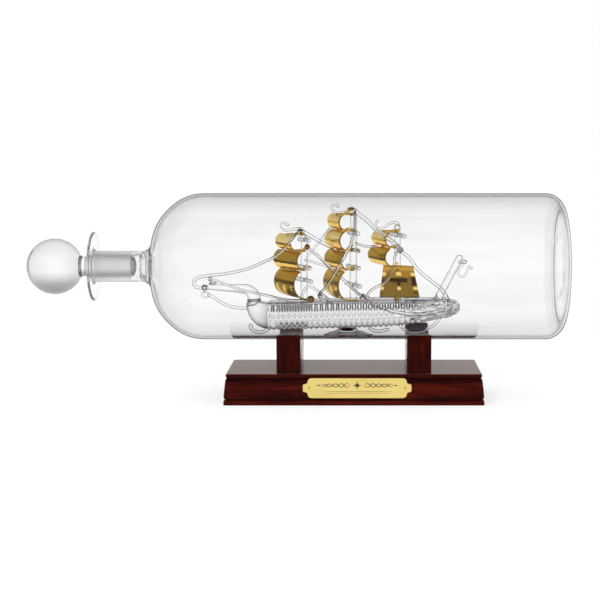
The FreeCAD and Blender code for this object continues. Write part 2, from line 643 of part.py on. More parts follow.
# ----------------------------------------------------------------------
# pennants, staff and the small glass knobs
# ----------------------------------------------------------------------
save("pennants", group([
    rod([(3.2, -1, 110.6), (-1.6, -1, 110.2), (-5.8, -1, 109.6), (-8.4, -1, 111.4), (-8.5, -1, 113.6),
         (-6.5, -1, 114.6), (-4.4, -1, 113.2)], 0.75, "fore pennant"),
    rod([(36.6, -1, 123.2), (31.9, -1, 121.5), (27.6, -1, 121.2), (24.7, -1, 122.6), (24.0, -1, 124.9),
         (25.9, -1, 126.1), (28.3, -1, 125.2)], 0.75, "main pennant"),
    rod([(66.9, 0, 111.2), (66.6, 0, 113.8), (63.9, 0, 114.7), (60.3, 0, 112.9), (56.5, 0, 110.9),
         (53.6, 0, 111.2), (52.7, 0, 113.4), (53.9, 0, 115.5)], 0.75, "mizzen pennant"),
    rod([(110.5, 0, 88.9), (108.0, 0, 85.7), (106.3, 0, 82.4), (107.4, 0, 79.6), (110.0, 0, 79.6),
         (112.1, 0, 82.7), (113.4, 0, 86.0), (115.1, 0, 84.9)], 0.7, "stern pennant"),
]))
save("stern_staff", fuse([straight((91.9, 0, 62.2), (107.1, 0, 91.4), 2.45),
                          capped((107.4, 0, 89.2), (110.6, 0, 89.2), 1.5)]).cut(hull_body))
save("rigging_knobs", group([
    ball((8.9, -17.3, 100.2), 2.2),
    ball((68.3, -5.6, 97.2), 2.2),
    ball((44.3, -10.5, 66.9), 2.0),
    ball((10.8, -10.0, 65.8), 2.3),
    ball((16.7, -11.5, 68.3), 1.7),
]))
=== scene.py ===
import math

import bmesh
import bpy
import numpy as np
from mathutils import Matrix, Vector


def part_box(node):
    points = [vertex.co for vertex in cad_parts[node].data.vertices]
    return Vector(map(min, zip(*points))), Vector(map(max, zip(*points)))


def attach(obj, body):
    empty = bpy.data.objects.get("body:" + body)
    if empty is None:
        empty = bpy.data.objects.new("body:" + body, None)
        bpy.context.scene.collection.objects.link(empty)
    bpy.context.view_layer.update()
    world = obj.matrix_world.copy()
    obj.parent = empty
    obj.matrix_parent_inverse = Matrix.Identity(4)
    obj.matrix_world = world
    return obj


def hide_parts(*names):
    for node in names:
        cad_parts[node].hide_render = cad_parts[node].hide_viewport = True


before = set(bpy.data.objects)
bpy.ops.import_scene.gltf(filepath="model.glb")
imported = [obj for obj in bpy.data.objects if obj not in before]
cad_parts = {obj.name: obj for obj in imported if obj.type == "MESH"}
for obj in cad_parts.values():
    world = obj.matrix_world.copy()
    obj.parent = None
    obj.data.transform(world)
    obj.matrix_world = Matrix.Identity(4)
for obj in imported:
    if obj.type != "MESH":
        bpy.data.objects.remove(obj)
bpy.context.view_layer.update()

MM = 0.001

# ----------------------------------------------------------------------
# sizes shared with the CAD model, read back from it where they can be
# ----------------------------------------------------------------------
_lo, _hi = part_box("bottle_tube")
R = (_hi.y - _lo.y) / 2 / MM                # 47.5
R = 47.5 if abs(R - 47.5) < 0.2 else R
AXIS_Z = 86.1
WALL = 2.0
SHELL = 1.35          # drawn wall of the seamless shell, inside the CAD wall
SHOULDER_X = _lo.x / MM
END_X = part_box("bottle_end")[1].x / MM
MOUTH_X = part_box("bottle_neck")[0].x / MM
BALL_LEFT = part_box("stopper_knob")[0].x / MM
HEEL_R = 12.0
PUNT = 1.5
NECK_R = 10.0
FLANGE_R = 22.4

STATIONS = [
    (-31.6, 61.4, 58.4, 1.3), (-30.6, 63.0, 55.1, 2.7), (-28.7, 63.9, 51.5, 4.2),
    (-25.4, 63.6, 47.9, 5.7), (-21.5, 62.6, 45.7, 6.9), (-17.6, 62.0, 44.9, 7.8),
    (-9.8, 62.1, 44.8, 8.9), (3.3, 62.5, 45.2, 9.6), (22.9, 63.1, 45.8, 9.9),
    (42.5, 63.5, 46.3, 9.9), (62.1, 63.6, 47.1, 9.5), (75.2, 63.7, 48.5, 8.6),
    (88.2, 63.8, 50.3, 7.2), (99.3, 64.1, 52.8, 5.4), (105.2, 63.4, 55.1, 4.2),
    (107.6, 61.1, 57.1, 2.2),
]


# ----------------------------------------------------------------------
# mesh helpers: everything below is in millimetres until mesh_obj
# ----------------------------------------------------------------------
def mesh_obj(name, verts, faces, mats, smooth=40.0, face_mats=None, uvs=None, painted_light=None):
    me = bpy.data.meshes.new(name)
    me.from_pydata([tuple(float(c) * MM for c in v) for v in verts], [], faces)
    for m in mats:
        me.materials.append(m)
    if face_mats is not None:
        me.polygons.foreach_set("material_index", face_mats)
    if uvs is not None:
        layer = me.uv_layers.new(name="uv")
        for poly in me.polygons:
            for li, vi in zip(poly.loop_indices, poly.vertices):
                layer.data[li].uv = uvs[vi]
    if painted_light is not None:
        at = me.attributes.new("painted_light", "FLOAT", "POINT")
        at.data.foreach_set("value", [float(c) for c in painted_light])
    me.update()
    bm = bmesh.new()
    bm.from_mesh(me)
    bmesh.ops.recalc_face_normals(bm, faces=bm.faces)
    bm.to_mesh(me)
    bm.free()
    if smooth:
        me.shade_smooth()
        me.set_sharp_from_angle(angle=math.radians(smooth))
    ob = bpy.data.objects.new(name, me)
    bpy.context.scene.collection.objects.link(ob)
    return ob


def bell(x, c, w):
    return math.exp(-((x - c) / w) ** 2)


def piece(ob, body, nodes=()):
    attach(ob, body)
    if nodes:
        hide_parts(*nodes)
    return ob


def catmull(pts, step=0.7, closed=False):
    """Points of a smooth curve through pts (centripetal Catmull-Rom)."""
    P = [np.array(p, float) for p in pts]
    if len(P) == 2:
        n = max(2, int(np.linalg.norm(P[1] - P[0]) / step))
        return np.array([P[0] + (P[1] - P[0]) * t for t in np.linspace(0, 1, n + 1)])
    A = [2 * P[0] - P[1]] + P + [2 * P[-1] - P[-2]]
    out = []
    for i in range(1, len(A) - 2):
        p0, p1, p2, p3 = A[i - 1], A[i], A[i + 1], A[i + 2]
        t0 = 0.0
        t1 = t0 + max(1e-6, np.linalg.norm(p1 - p0)) ** 0.5
        t2 = t1 + max(1e-6, np.linalg.norm(p2 - p1)) ** 0.5
        t3 = t2 + max(1e-6, np.linalg.norm(p3 - p2)) ** 0.5
        n = max(2, int(round(np.linalg.norm(p2 - p1) / step)))
        for t in np.linspace(t1, t2, n, endpoint=False):
            a1 = (t1 - t) / (t1 - t0) * p0 + (t - t0) / (t1 - t0) * p1
            a2 = (t2 - t) / (t2 - t1) * p1 + (t - t1) / (t2 - t1) * p2
            a3 = (t3 - t) / (t3 - t2) * p2 + (t - t2) / (t3 - t2) * p3
            b1 = (t2 - t) / (t2 - t0) * a1 + (t - t0) / (t2 - t0) * a2
            b2 = (t3 - t) / (t3 - t1) * a2 + (t - t1) / (t3 - t1) * a3
            out.append((t2 - t) / (t2 - t1) * b1 + (t - t1) / (t2 - t1) * b2)
    out.append(P[-1])
    return np.array(out)


def frames(C):
    """Parallel-transported frames along a polyline."""
    T = np.gradient(C, axis=0)
    T /= np.linalg.norm(T, axis=1)[:, None] + 1e-12
    ref = np.array([0, 0, 1.0]) if abs(T[0][2]) < 0.9 else np.array([1.0, 0, 0])
    N = [np.cross(T[0], ref)]
    N[0] /= np.linalg.norm(N[0])
    for i in range(1, len(C)):
        n = N[-1] - T[i] * N[-1].dot(T[i])
        n /= np.linalg.norm(n) + 1e-12
        N.append(n)
    N = np.array(N)
    B = np.cross(T, N)
    return T, N, B


def tube_geo(pts, radii, seg=14, step=0.7, flat=None, smooth_path=True):
    """A drawn glass rod with fire-rounded ends, closed.  flat squashes the
    section along its own second axis."""
    pts = [np.array(p, float) for p in pts]
    if np.isscalar(radii):
        radii = [radii] * len(pts)
    if smooth_path:
        C = catmull([list(p) + [r] for p, r in zip(pts, radii)], step)
    else:
        C = np.array([list(p) + [r] for p, r in zip(pts, radii)])
    rad = C[:, 3]
    C = C[:, :3]
    T, N, B = frames(C)
    rows = []
    # rounded start
    r0, r1 = rad[0], rad[-1]
    caps = [math.radians(a) for a in (80, 60, 40, 20)]
    for a in caps:
        rows.append((C[0] - T[0] * r0 * math.sin(a), r0 * math.cos(a), N[0], B[0]))
    for i in range(len(C)):
        rows.append((C[i], rad[i], N[i], B[i]))
    for a in reversed(caps):
        rows.append((C[-1] + T[-1] * r1 * math.sin(a), r1 * math.cos(a), N[-1], B[-1]))
    V, F = [], []
    fl = 1.0 if flat is None else flat
    for c, r, n, b in rows:
        for k in range(seg):
            a = 2 * math.pi * k / seg
            V.append(c + n * r * math.cos(a) + b * r * fl * math.sin(a))
    for i in range(len(rows) - 1):
        for k in range(seg):
            k2 = (k + 1) % seg
            F.append((i * seg + k, i * seg + k2, (i + 1) * seg + k2, (i + 1) * seg + k))
    s = len(V)
    V.append(C[0] - T[0] * r0)
    V.append(C[-1] + T[-1] * r1)
    for k in range(seg):
        k2 = (k + 1) % seg
        F.append((s, k2, k))
        base = (len(rows) - 1) * seg
        F.append((s + 1, base + k, base + k2))
    return V, F


def merge(geos):
    V, F = [], []
    for v, f in geos:
        o = len(V)
        V.extend(v)
        F.extend(tuple(i + o for i in face) for face in f)
    return V, F


def blob_geo(c, r, seg=20, rings=12, scale=(1, 1, 1), wob=0.0, seed=0):
    """A melted glass bead, never quite a sphere."""
    rng = np.random.default_rng(seed)
    ph = rng.uniform(0, 6.28, 6)
    V, F = [], []
    c = np.array(c, float)
    V.append(c + np.array([0, 0, r * scale[2]]))
    for i in range(1, rings):
        t = math.pi * i / rings
        for k in range(seg):
            a = 2 * math.pi * k / seg
            w = 1 + wob * (math.sin(2 * a + ph[0]) * math.sin(2 * t + ph[1]) + 0.6 * math.sin(3 * a + ph[2]) * math.sin(t))
            V.append(c + np.array([r * scale[0] * math.sin(t) * math.cos(a) * w,
                                   r * scale[1] * math.sin(t) * math.sin(a) * w,
                                   r * scale[2] * math.cos(t) * w]))
    V.append(c - np.array([0, 0, r * scale[2]]))
    last = len(V) - 1
    for k in range(seg):
        k2 = (k + 1) % seg
        F.append((0, 1 + k, 1 + k2))
        F.append((last, 1 + (rings - 2) * seg + k2, 1 + (rings - 2) * seg + k))
    for i in range(rings - 2):
        for k in range(seg):
            k2 = (k + 1) % seg
            a = 1 + i * seg
            F.append((a + k, a + seg + k, a + seg + k2, a + k2))
    return V, F


def ring_geo(c, R0, r, normal="y", seg=28, sec=12, squash=1.0):
    V, F = [], []
    c = np.array(c, float)
    for i in range(seg):
        a = 2 * math.pi * i / seg
        if normal == "y":
            u = np.array([math.cos(a), 0, squash * math.sin(a)])
            w = np.array([0, 1.0, 0])
        else:
            u = np.array([math.cos(a), squash * math.sin(a), 0])
            w = np.array([0, 0, 1.0])
        for k in range(sec):
            b = 2 * math.pi * k / sec
            V.append(c + u * (R0 + r * math.cos(b)) + w * r * math.sin(b))
    for i in range(seg):
        for k in range(sec):
            i2, k2 = (i + 1) % seg, (k + 1) % sec
            F.append((i * sec + k, i2 * sec + k, i2 * sec + k2, i * sec + k2))
    return V, F


def revolve_geo(profile, seg=160, z=AXIS_Z):
    """Closed outline of (x, r) turned about the bottle's axis.  Points with
    r = 0 become poles.  Returns verts, faces and the profile index per face."""
    V, F, K = [], [], []
    rows = []
    for x, r in profile:
        if r < 1e-6:
            rows.append([len(V)])
            V.append((x, 0.0, z))
        else:
            row = []
            for k in range(seg):
                a = 2 * math.pi * k / seg
                row.append(len(V))
                V.append((x, r * math.sin(a), z + r * math.cos(a)))
            rows.append(row)
    n = len(rows)
    for i in range(n):
        a, b = rows[i], rows[(i + 1) % n]
        if len(a) == 1 and len(b) == 1:
            continue
        for k in range(seg):
            k2 = (k + 1) % seg
            if len(a) == 1:
                F.append((a[0], b[k], b[k2]))
            elif len(b) == 1:
                F.append((a[k], b[0], a[k2]))
            else:
                F.append((a[k], b[k], b[k2], a[k2]))
            K.append(i)
    return V, F, K


# ----------------------------------------------------------------------
# materials
# ----------------------------------------------------------------------
def new_mat(name):
    m = bpy.data.materials.new(name)
    m.use_nodes = True
    nt = m.node_tree
    nt.nodes.clear()
    out = nt.nodes.new("ShaderNodeOutputMaterial")
    return m, nt, out


def add(nt, kind, **kw):
    n = nt.nodes.new(kind)
    for k, val in kw.items():
        setattr(n, k, val)
    return n


def ramp(nt, src, stops, interp="LINEAR"):
    n = nt.nodes.new("ShaderNodeValToRGB")
    n.color_ramp.interpolation = interp
    el = n.color_ramp.elements
    while len(el) > 1:
        el.remove(el[-1])
    el[0].position, el[0].color = stops[0][0], stops[0][1]
    for p, c in stops[1:]:
        e = el.new(p)
        e.color = c
    nt.links.new(src, n.inputs[0])
    return n


def grey(v):
    return (v, v, v, 1.0)


def glass_mat(name, stops, tone=(1, 1, 1), rough=0.0, ior=1.47, gloss=0.4,
              bump=0.0, bump_scale=60.0, shadow=0.9, painted_light=False, rim=None):
    """Fire-polished glass.  stops give the share of light let through from
    face on (0) to edge on (1), painted into the glass colour: painted shade
    darkens the rims, in place of the dark surroundings they would refract.  Lamps pass through it."""
    m, nt, out = new_mat(name)
    lw = add(nt, "ShaderNodeLayerWeight")
    lw.inputs["Blend"].default_value = 0.5
    rmp = ramp(nt, lw.outputs["Facing"], [(p, (t * tone[0], t * tone[1], t * tone[2], 1)) for p, t in stops])
    colour = rmp.outputs[0]
    tc = add(nt, "ShaderNodeTexCoord")
    # faint cords and striae in the melt
    mp = add(nt, "ShaderNodeMapping")
    mp.inputs["Scale"].default_value = (14, 90, 90)
    nt.links.new(tc.outputs["Object"], mp.inputs["Vector"])
    cords = add(nt, "ShaderNodeTexNoise")
    cords.inputs["Scale"].default_value = 1.0
    cords.inputs["Detail"].default_value = 2.0
    nt.links.new(mp.outputs[0], cords.inputs["Vector"])
    cr = ramp(nt, cords.outputs["Fac"], [(0.35, grey(0.965)), (0.6, grey(1.0))])
    mul = add(nt, "ShaderNodeMix", data_type="RGBA", blend_type="MULTIPLY")
    mul.inputs[0].default_value = 1.0
    nt.links.new(colour, mul.inputs[6])
    nt.links.new(cr.outputs[0], mul.inputs[7])
    colour = mul.outputs[2]
    # painted shade: the per-point attribute mixes the glass colour towards near black in crevices, hollows, rings and
    # joints
    if painted_light:
        at = add(nt, "ShaderNodeAttribute", attribute_name="painted_light", attribute_type="GEOMETRY")
        dk = add(nt, "ShaderNodeMix", data_type="RGBA", blend_type="MIX")
        nt.links.new(at.outputs["Fac"], dk.inputs[0])
        nt.links.new(colour, dk.inputs[6])
        dk.inputs[7].default_value = (0.004, 0.004, 0.005, 1)
        colour = dk.outputs[2]
    bsdf = add(nt, "ShaderNodeBsdfPrincipled")
    nt.links.new(colour, bsdf.inputs["Base Color"])
    bsdf.inputs["Transmission Weight"].default_value = 1.0
    bsdf.inputs["Roughness"].default_value = rough
    bsdf.inputs["IOR"].default_value = ior
    bsdf.inputs["Specular Tint"].default_value = (gloss, gloss, gloss, 1)
    if bump > 0:
        nz = add(nt, "ShaderNodeTexNoise")
        nz.inputs["Scale"].default_value = bump_scale
        nz.inputs["Detail"].default_value = 3.0
        nt.links.new(tc.outputs["Object"], nz.inputs["Vector"])
        b = add(nt, "ShaderNodeBump")
        b.inputs["Strength"].default_value = bump
        b.inputs["Distance"].default_value = 0.0004
        nt.links.new(nz.outputs["Fac"], b.inputs["Height"])
        nt.links.new(b.outputs[0], bsdf.inputs["Normal"])
    surface = bsdf.outputs[0]
    if rim:
        # edge on, light runs along inside the wall and little comes through
        # painted shade: edge on, a grey see-through shader takes over from the glass, so the rim of the wall looks
        # darker
        start, full, tint = rim
        edge = add(nt, "ShaderNodeBsdfTransparent")
        edge.inputs[0].default_value = (tint, tint, tint, 1)
        rr = ramp(nt, lw.outputs["Facing"], [(start, grey(0.0)), ((start + 1) / 2, grey(full)), (1.0, grey(full))])
        rmix = add(nt, "ShaderNodeMixShader")
        nt.links.new(rr.outputs[0], rmix.inputs[0])
        nt.links.new(surface, rmix.inputs[1])
        nt.links.new(edge.outputs[0], rmix.inputs[2])
        surface = rmix.outputs[0]
    lp = add(nt, "ShaderNodeLightPath")
    tr = add(nt, "ShaderNodeBsdfTransparent")
    tr.inputs[0].default_value = (tone[0] * shadow, tone[1] * shadow, tone[2] * shadow, 1)
    mx = add(nt, "ShaderNodeMixShader")
    nt.links.new(lp.outputs["Is Shadow Ray"], mx.inputs[0])
    nt.links.new(surface, mx.inputs[1])
    nt.links.new(tr.outputs[0], mx.inputs[2])
    nt.links.new(mx.outputs[0], out.inputs["Surface"])
    return m


# painted shade: each list of stops below darkens the glass colour towards edge on, for the dark surroundings that the
# rims would refract
SHELL_EDGE_SHADE = [(0.0, 0.99), (0.26, 0.96), (0.31, 0.94), (0.375, 0.915), (0.45, 0.88), (0.54, 0.845), (0.67, 0.80), (0.77, 0.70), (0.85, 0.5), (1.0, 0.25)]
THICK_EDGE_SHADE = [(0.0, 1.0), (0.30, 0.96), (0.50, 0.72), (0.66, 0.34), (0.82, 0.07), (1.0, 0.01)]
ROD_EDGE_SHADE = [(0.0, 1.0), (0.08, 0.98), (0.18, 0.74), (0.33, 0.22), (0.52, 0.04), (1.0, 0.004)]
BOTTLE = glass_mat("bottle_glass", SHELL_EDGE_SHADE, gloss=0.2, painted_light=True, rim=(0.74, 0.85, 0.42))
BASE = glass_mat("bottle_base_glass", [(0.0, 1.0), (0.80, 0.97), (0.92, 0.88), (1.0, 0.5)], gloss=0.2, painted_light=True)
BALL = glass_mat("ball_glass", [(0.0, 1.0), (0.04, 0.97), (0.10, 0.945), (0.25, 0.905), (0.50, 0.83), (0.70, 0.60), (0.85, 0.25), (1.0, 0.05)], gloss=0.4, rim=(0.80, 0.9, 0.22))
SHIP = glass_mat("ship_glass", ROD_EDGE_SHADE, (0.995, 0.996, 1.0), ior=1.48, gloss=0.5)
MAST = glass_mat("mast_glass", [(0.0, 1.0), (0.20, 0.95), (0.38, 0.70), (0.56, 0.30), (0.78, 0.08), (1.0, 0.01)], (0.99, 0.992, 0.996), ior=1.48, gloss=0.5)
HOOK = glass_mat("hook_glass", [(0.0, 1.0), (0.05, 0.98), (0.14, 0.66), (0.29, 0.11), (0.47, 0.02), (1.0, 0.002)], (0.99, 0.992, 0.996), ior=1.48, gloss=0.5)
# painted shade: the rail's glass is darkened even face on, so the gunwale reads as a grey line
RAIL = glass_mat("rail_glass", [(0.0, 0.66), (0.20, 0.50), (0.42, 0.20), (0.65, 0.05), (1.0, 0.005)], (0.99, 0.992, 0.996), ior=1.46, gloss=0.4)
STAFF = glass_mat("staff_glass", [(0.0, 0.99), (0.12, 0.96), (0.26, 0.76), (0.44, 0.40), (0.62, 0.12), (1.0, 0.005)], (0.99, 0.992, 0.996), ior=1.46, gloss=0.5)
YARD = glass_mat("yard_glass", [(0.0, 1.0), (0.30, 0.97), (0.45, 0.64), (0.62, 0.20), (0.80, 0.04), (1.0, 0.005)], (0.985, 0.988, 0.993), ior=1.40, gloss=0.8)
STRAND = glass_mat("strand_glass", [(0.0, 1.0), (0.34, 0.96), (0.52, 0.60), (0.68, 0.16), (0.84, 0.03), (1.0, 0.005)], (0.99, 0.99, 0.995), ior=1.40, gloss=0.8)
BOW = glass_mat("bow_glass", [(0.0, 1.0), (0.16, 0.95), (0.34, 0.82), (0.50, 0.48), (0.64, 0.14), (0.80, 0.03), (1.0, 0.004)], (0.985, 0.987, 0.99), ior=1.45, gloss=0.5,
                bump=0.04, bump_scale=150.0, painted_light=True)
HULL = glass_mat("hull_glass", [(0.0, 1.0), (0.45, 0.97), (0.65, 0.72), (0.82, 0.22), (1.0, 0.02)], (0.985, 0.988, 0.992), ior=1.42, gloss=0.35,
                 bump=0.10, bump_scale=420.0, painted_light=True)
FROST = glass_mat("ground_glass", [(0.0, 0.93), (0.5, 0.88), (1.0, 0.6)], (1.0, 1.0, 1.0), rough=0.4, ior=1.45, gloss=0.6,
                  bump=0.3, bump_scale=1800.0, shadow=0.6)


def wood_mat(name, tone=1.0, along="x", moulded=False):
    """Stained and lacquered wood.  On a moulding, painted shade darkens the
    grooves and a painted highlight lightens the arrises (a per-point attribute, -1 to 1)."""
    m, nt, out = new_mat(name)
    tc = add(nt, "ShaderNodeTexCoord")
    mp = add(nt, "ShaderNodeMapping")
    mp.inputs["Scale"].default_value = (9, 60, 90) if along == "x" else (60, 60, 12)
    nt.links.new(tc.outputs["Object"], mp.inputs["Vector"])
    n1 = add(nt, "ShaderNodeTexNoise")
    n1.inputs["Scale"].default_value = 3.0
    n1.inputs["Detail"].default_value = 8.0
    n1.inputs["Roughness"].default_value = 0.6
    n1.inputs["Distortion"].default_value = 0.8
    nt.links.new(mp.outputs[0], n1.inputs["Vector"])
    mp2 = add(nt, "ShaderNodeMapping")
    mp2.inputs["Scale"].default_value = (60, 900, 900) if along == "x" else (900, 900, 60)
    nt.links.new(tc.outputs["Object"], mp2.inputs["Vector"])
    n2 = add(nt, "ShaderNodeTexNoise")
    n2.inputs["Scale"].default_value = 1.0
    n2.inputs["Detail"].default_value = 3.0
    nt.links.new(mp2.outputs[0], n2.inputs["Vector"])
    k = tone * (3.0 if moulded else 1.0)
    c1 = ramp(nt, n1.outputs["Fac"], [
        (0.28, (0.020 * k, 0.0016 * k, 0.0010 * k, 1)), (0.5, (0.054 * k, 0.0042 * k, 0.0022 * k, 1)),
        (0.72, (0.112 * k, 0.0086 * k, 0.0044 * k, 1))])
    c2 = ramp(nt, n2.outputs["Fac"], [(0.35, grey(0.6)), (0.55, grey(1.0))])
    mul = add(nt, "ShaderNodeMix", data_type="RGBA", blend_type="MULTIPLY")
    mul.inputs[0].default_value = 1.0
    nt.links.new(c1.outputs[0], mul.inputs[6])
    nt.links.new(c2.outputs[0], mul.inputs[7])
    stain_and_painted_light = mul.outputs[2]
    # painted shade and highlight: on a moulding the stain, tripled above, is darkened in the grooves and lightened on
    # the arrises by the per-point attribute
    if moulded:
        at = add(nt, "ShaderNodeAttribute", attribute_name="painted_light", attribute_type="GEOMETRY")
        half = add(nt, "ShaderNodeMath", operation="MULTIPLY_ADD")
        nt.links.new(at.outputs["Fac"], half.inputs[0])
        half.inputs[1].default_value = 0.5
        half.inputs[2].default_value = 0.5
        moulding_painted_light = ramp(nt, half.outputs[0], [(0.0, grey(1.0)), (0.5, grey(1 / 3)), (1.0, grey(0.02))])
        mul2 = add(nt, "ShaderNodeMix", data_type="RGBA", blend_type="MULTIPLY")
        mul2.inputs[0].default_value = 1.0
        nt.links.new(stain_and_painted_light, mul2.inputs[6])
        nt.links.new(moulding_painted_light.outputs[0], mul2.inputs[7])
        stain_and_painted_light = mul2.outputs[2]
    b = add(nt, "ShaderNodeBsdfPrincipled")
    nt.links.new(stain_and_painted_light, b.inputs["Base Color"])
    rr = ramp(nt, n2.outputs["Fac"], [(0.3, grey(0.40)), (0.7, grey(0.52))])
    nt.links.new(rr.outputs[0], b.inputs["Roughness"])
    b.inputs["Specular IOR Level"].default_value = 0.0
    b.inputs["Coat Weight"].default_value = 1.0
    b.inputs["Coat Roughness"].default_value = 0.09
    b.inputs["Coat IOR"].default_value = 1.105
    b.inputs["Sheen Weight"].default_value = 0.30
    b.inputs["Sheen Roughness"].default_value = 0.25
    b.inputs["Sheen Tint"].default_value = (1.0, 0.78, 0.60, 1)
    bp = add(nt, "ShaderNodeBump")
    bp.inputs["Strength"].default_value = 0.10
    bp.inputs["Distance"].default_value = 0.0002
    nt.links.new(n2.outputs["Fac"], bp.inputs["Height"])
    nt.links.new(bp.outputs[0], b.inputs["Normal"])
    nt.links.new(b.outputs[0], out.inputs["Surface"])
    return m


WOOD = wood_mat("mahogany_lacquer", 0.76, moulded=True)
# painted shade: the cradles get a darker copy of the mahogany because they stand in shade
WOOD_UP_SHADED = wood_mat("mahogany_upright_shaded", 0.55, "z")


def brass_mat(name, colour, rough, brushed=True):
    m, nt, out = new_mat(name)
    tc = add(nt, "ShaderNodeTexCoord")
    mp = add(nt, "ShaderNodeMapping")
    mp.inputs["Scale"].default_value = (18, 900, 900)
    nt.links.new(tc.outputs["Object"], mp.inputs["Vector"])
    n = add(nt, "ShaderNodeTexNoise")
    n.inputs["Scale"].default_value = 1.0
    n.inputs["Detail"].default_value = 4.0
    nt.links.new(mp.outputs[0], n.inputs["Vector"])
    big = add(nt, "ShaderNodeTexNoise")
    big.inputs["Scale"].default_value = 45.0
    nt.links.new(tc.outputs["Object"], big.inputs["Vector"])
    c = ramp(nt, big.outputs["Fac"], [
        (0.3, (colour[0] * 0.88, colour[1] * 0.86, colour[2] * 0.8, 1)), (0.7, (*colour, 1))])
    b = add(nt, "ShaderNodeBsdfPrincipled")
    nt.links.new(c.outputs[0], b.inputs["Base Color"])
    b.inputs["Metallic"].default_value = 1.0
    rr = ramp(nt, n.outputs["Fac"], [(0.3, grey(rough * 0.8)), (0.7, grey(rough * 1.25))])
    nt.links.new(rr.outputs[0], b.inputs["Roughness"])
    bp = add(nt, "ShaderNodeBump")
    bp.inputs["Strength"].default_value = 0.15 if brushed else 0.05
    bp.inputs["Distance"].default_value = 0.0001
    nt.links.new(n.outputs["Fac"], bp.inputs["Height"])
    nt.links.new(bp.outputs[0], b.inputs["Normal"])
    nt.links.new(b.outputs[0], out.inputs["Surface"])
    return m


PLATE = brass_mat("plate_gold", (0.86, 0.68, 0.23), 0.30)
PIN = brass_mat("pin_brass", (0.72, 0.52, 0.18), 0.22, False)


def ink_mat():
    m, nt, out = new_mat("engraving_fill")
    tc = add(nt, "ShaderNodeTexCoord")
    n = add(nt, "ShaderNodeTexNoise")
    n.inputs["Scale"].default_value = 700.0
    nt.links.new(tc.outputs["Object"], n.inputs["Vector"])
    c = ramp(nt, n.outputs["Fac"], [(0.3, (0.035, 0.026, 0.012, 1)), (0.7, (0.07, 0.052, 0.026, 1))])
    b = add(nt, "ShaderNodeBsdfPrincipled")
    nt.links.new(c.outputs[0], b.inputs["Base Color"])
    b.inputs["Roughness"].default_value = 0.55
    nt.links.new(b.outputs[0], out.inputs["Surface"])
    return m


INK = ink_mat()


def steel_mat():
    m, nt, out = new_mat("zinc_screw")
    tc = add(nt, "ShaderNodeTexCoord")
    n = add(nt, "ShaderNodeTexNoise")
    n.inputs["Scale"].default_value = 500.0
    nt.links.new(tc.outputs["Object"], n.inputs["Vector"])
    c = ramp(nt, n.outputs["Fac"], [(0.3, (0.42, 0.42, 0.44, 1)), (0.7, (0.62, 0.62, 0.63, 1))])
    b = add(nt, "ShaderNodeBsdfPrincipled")
    nt.links.new(c.outputs[0], b.inputs["Base Color"])
    b.inputs["Metallic"].default_value = 1.0
    rr = ramp(nt, n.outputs["Fac"], [(0.3, grey(0.25)), (0.7, grey(0.42))])
    nt.links.new(rr.outputs[0], b.inputs["Roughness"])
    nt.links.new(b.outputs[0], out.inputs["Surface"])
    return m


STEEL = steel_mat()


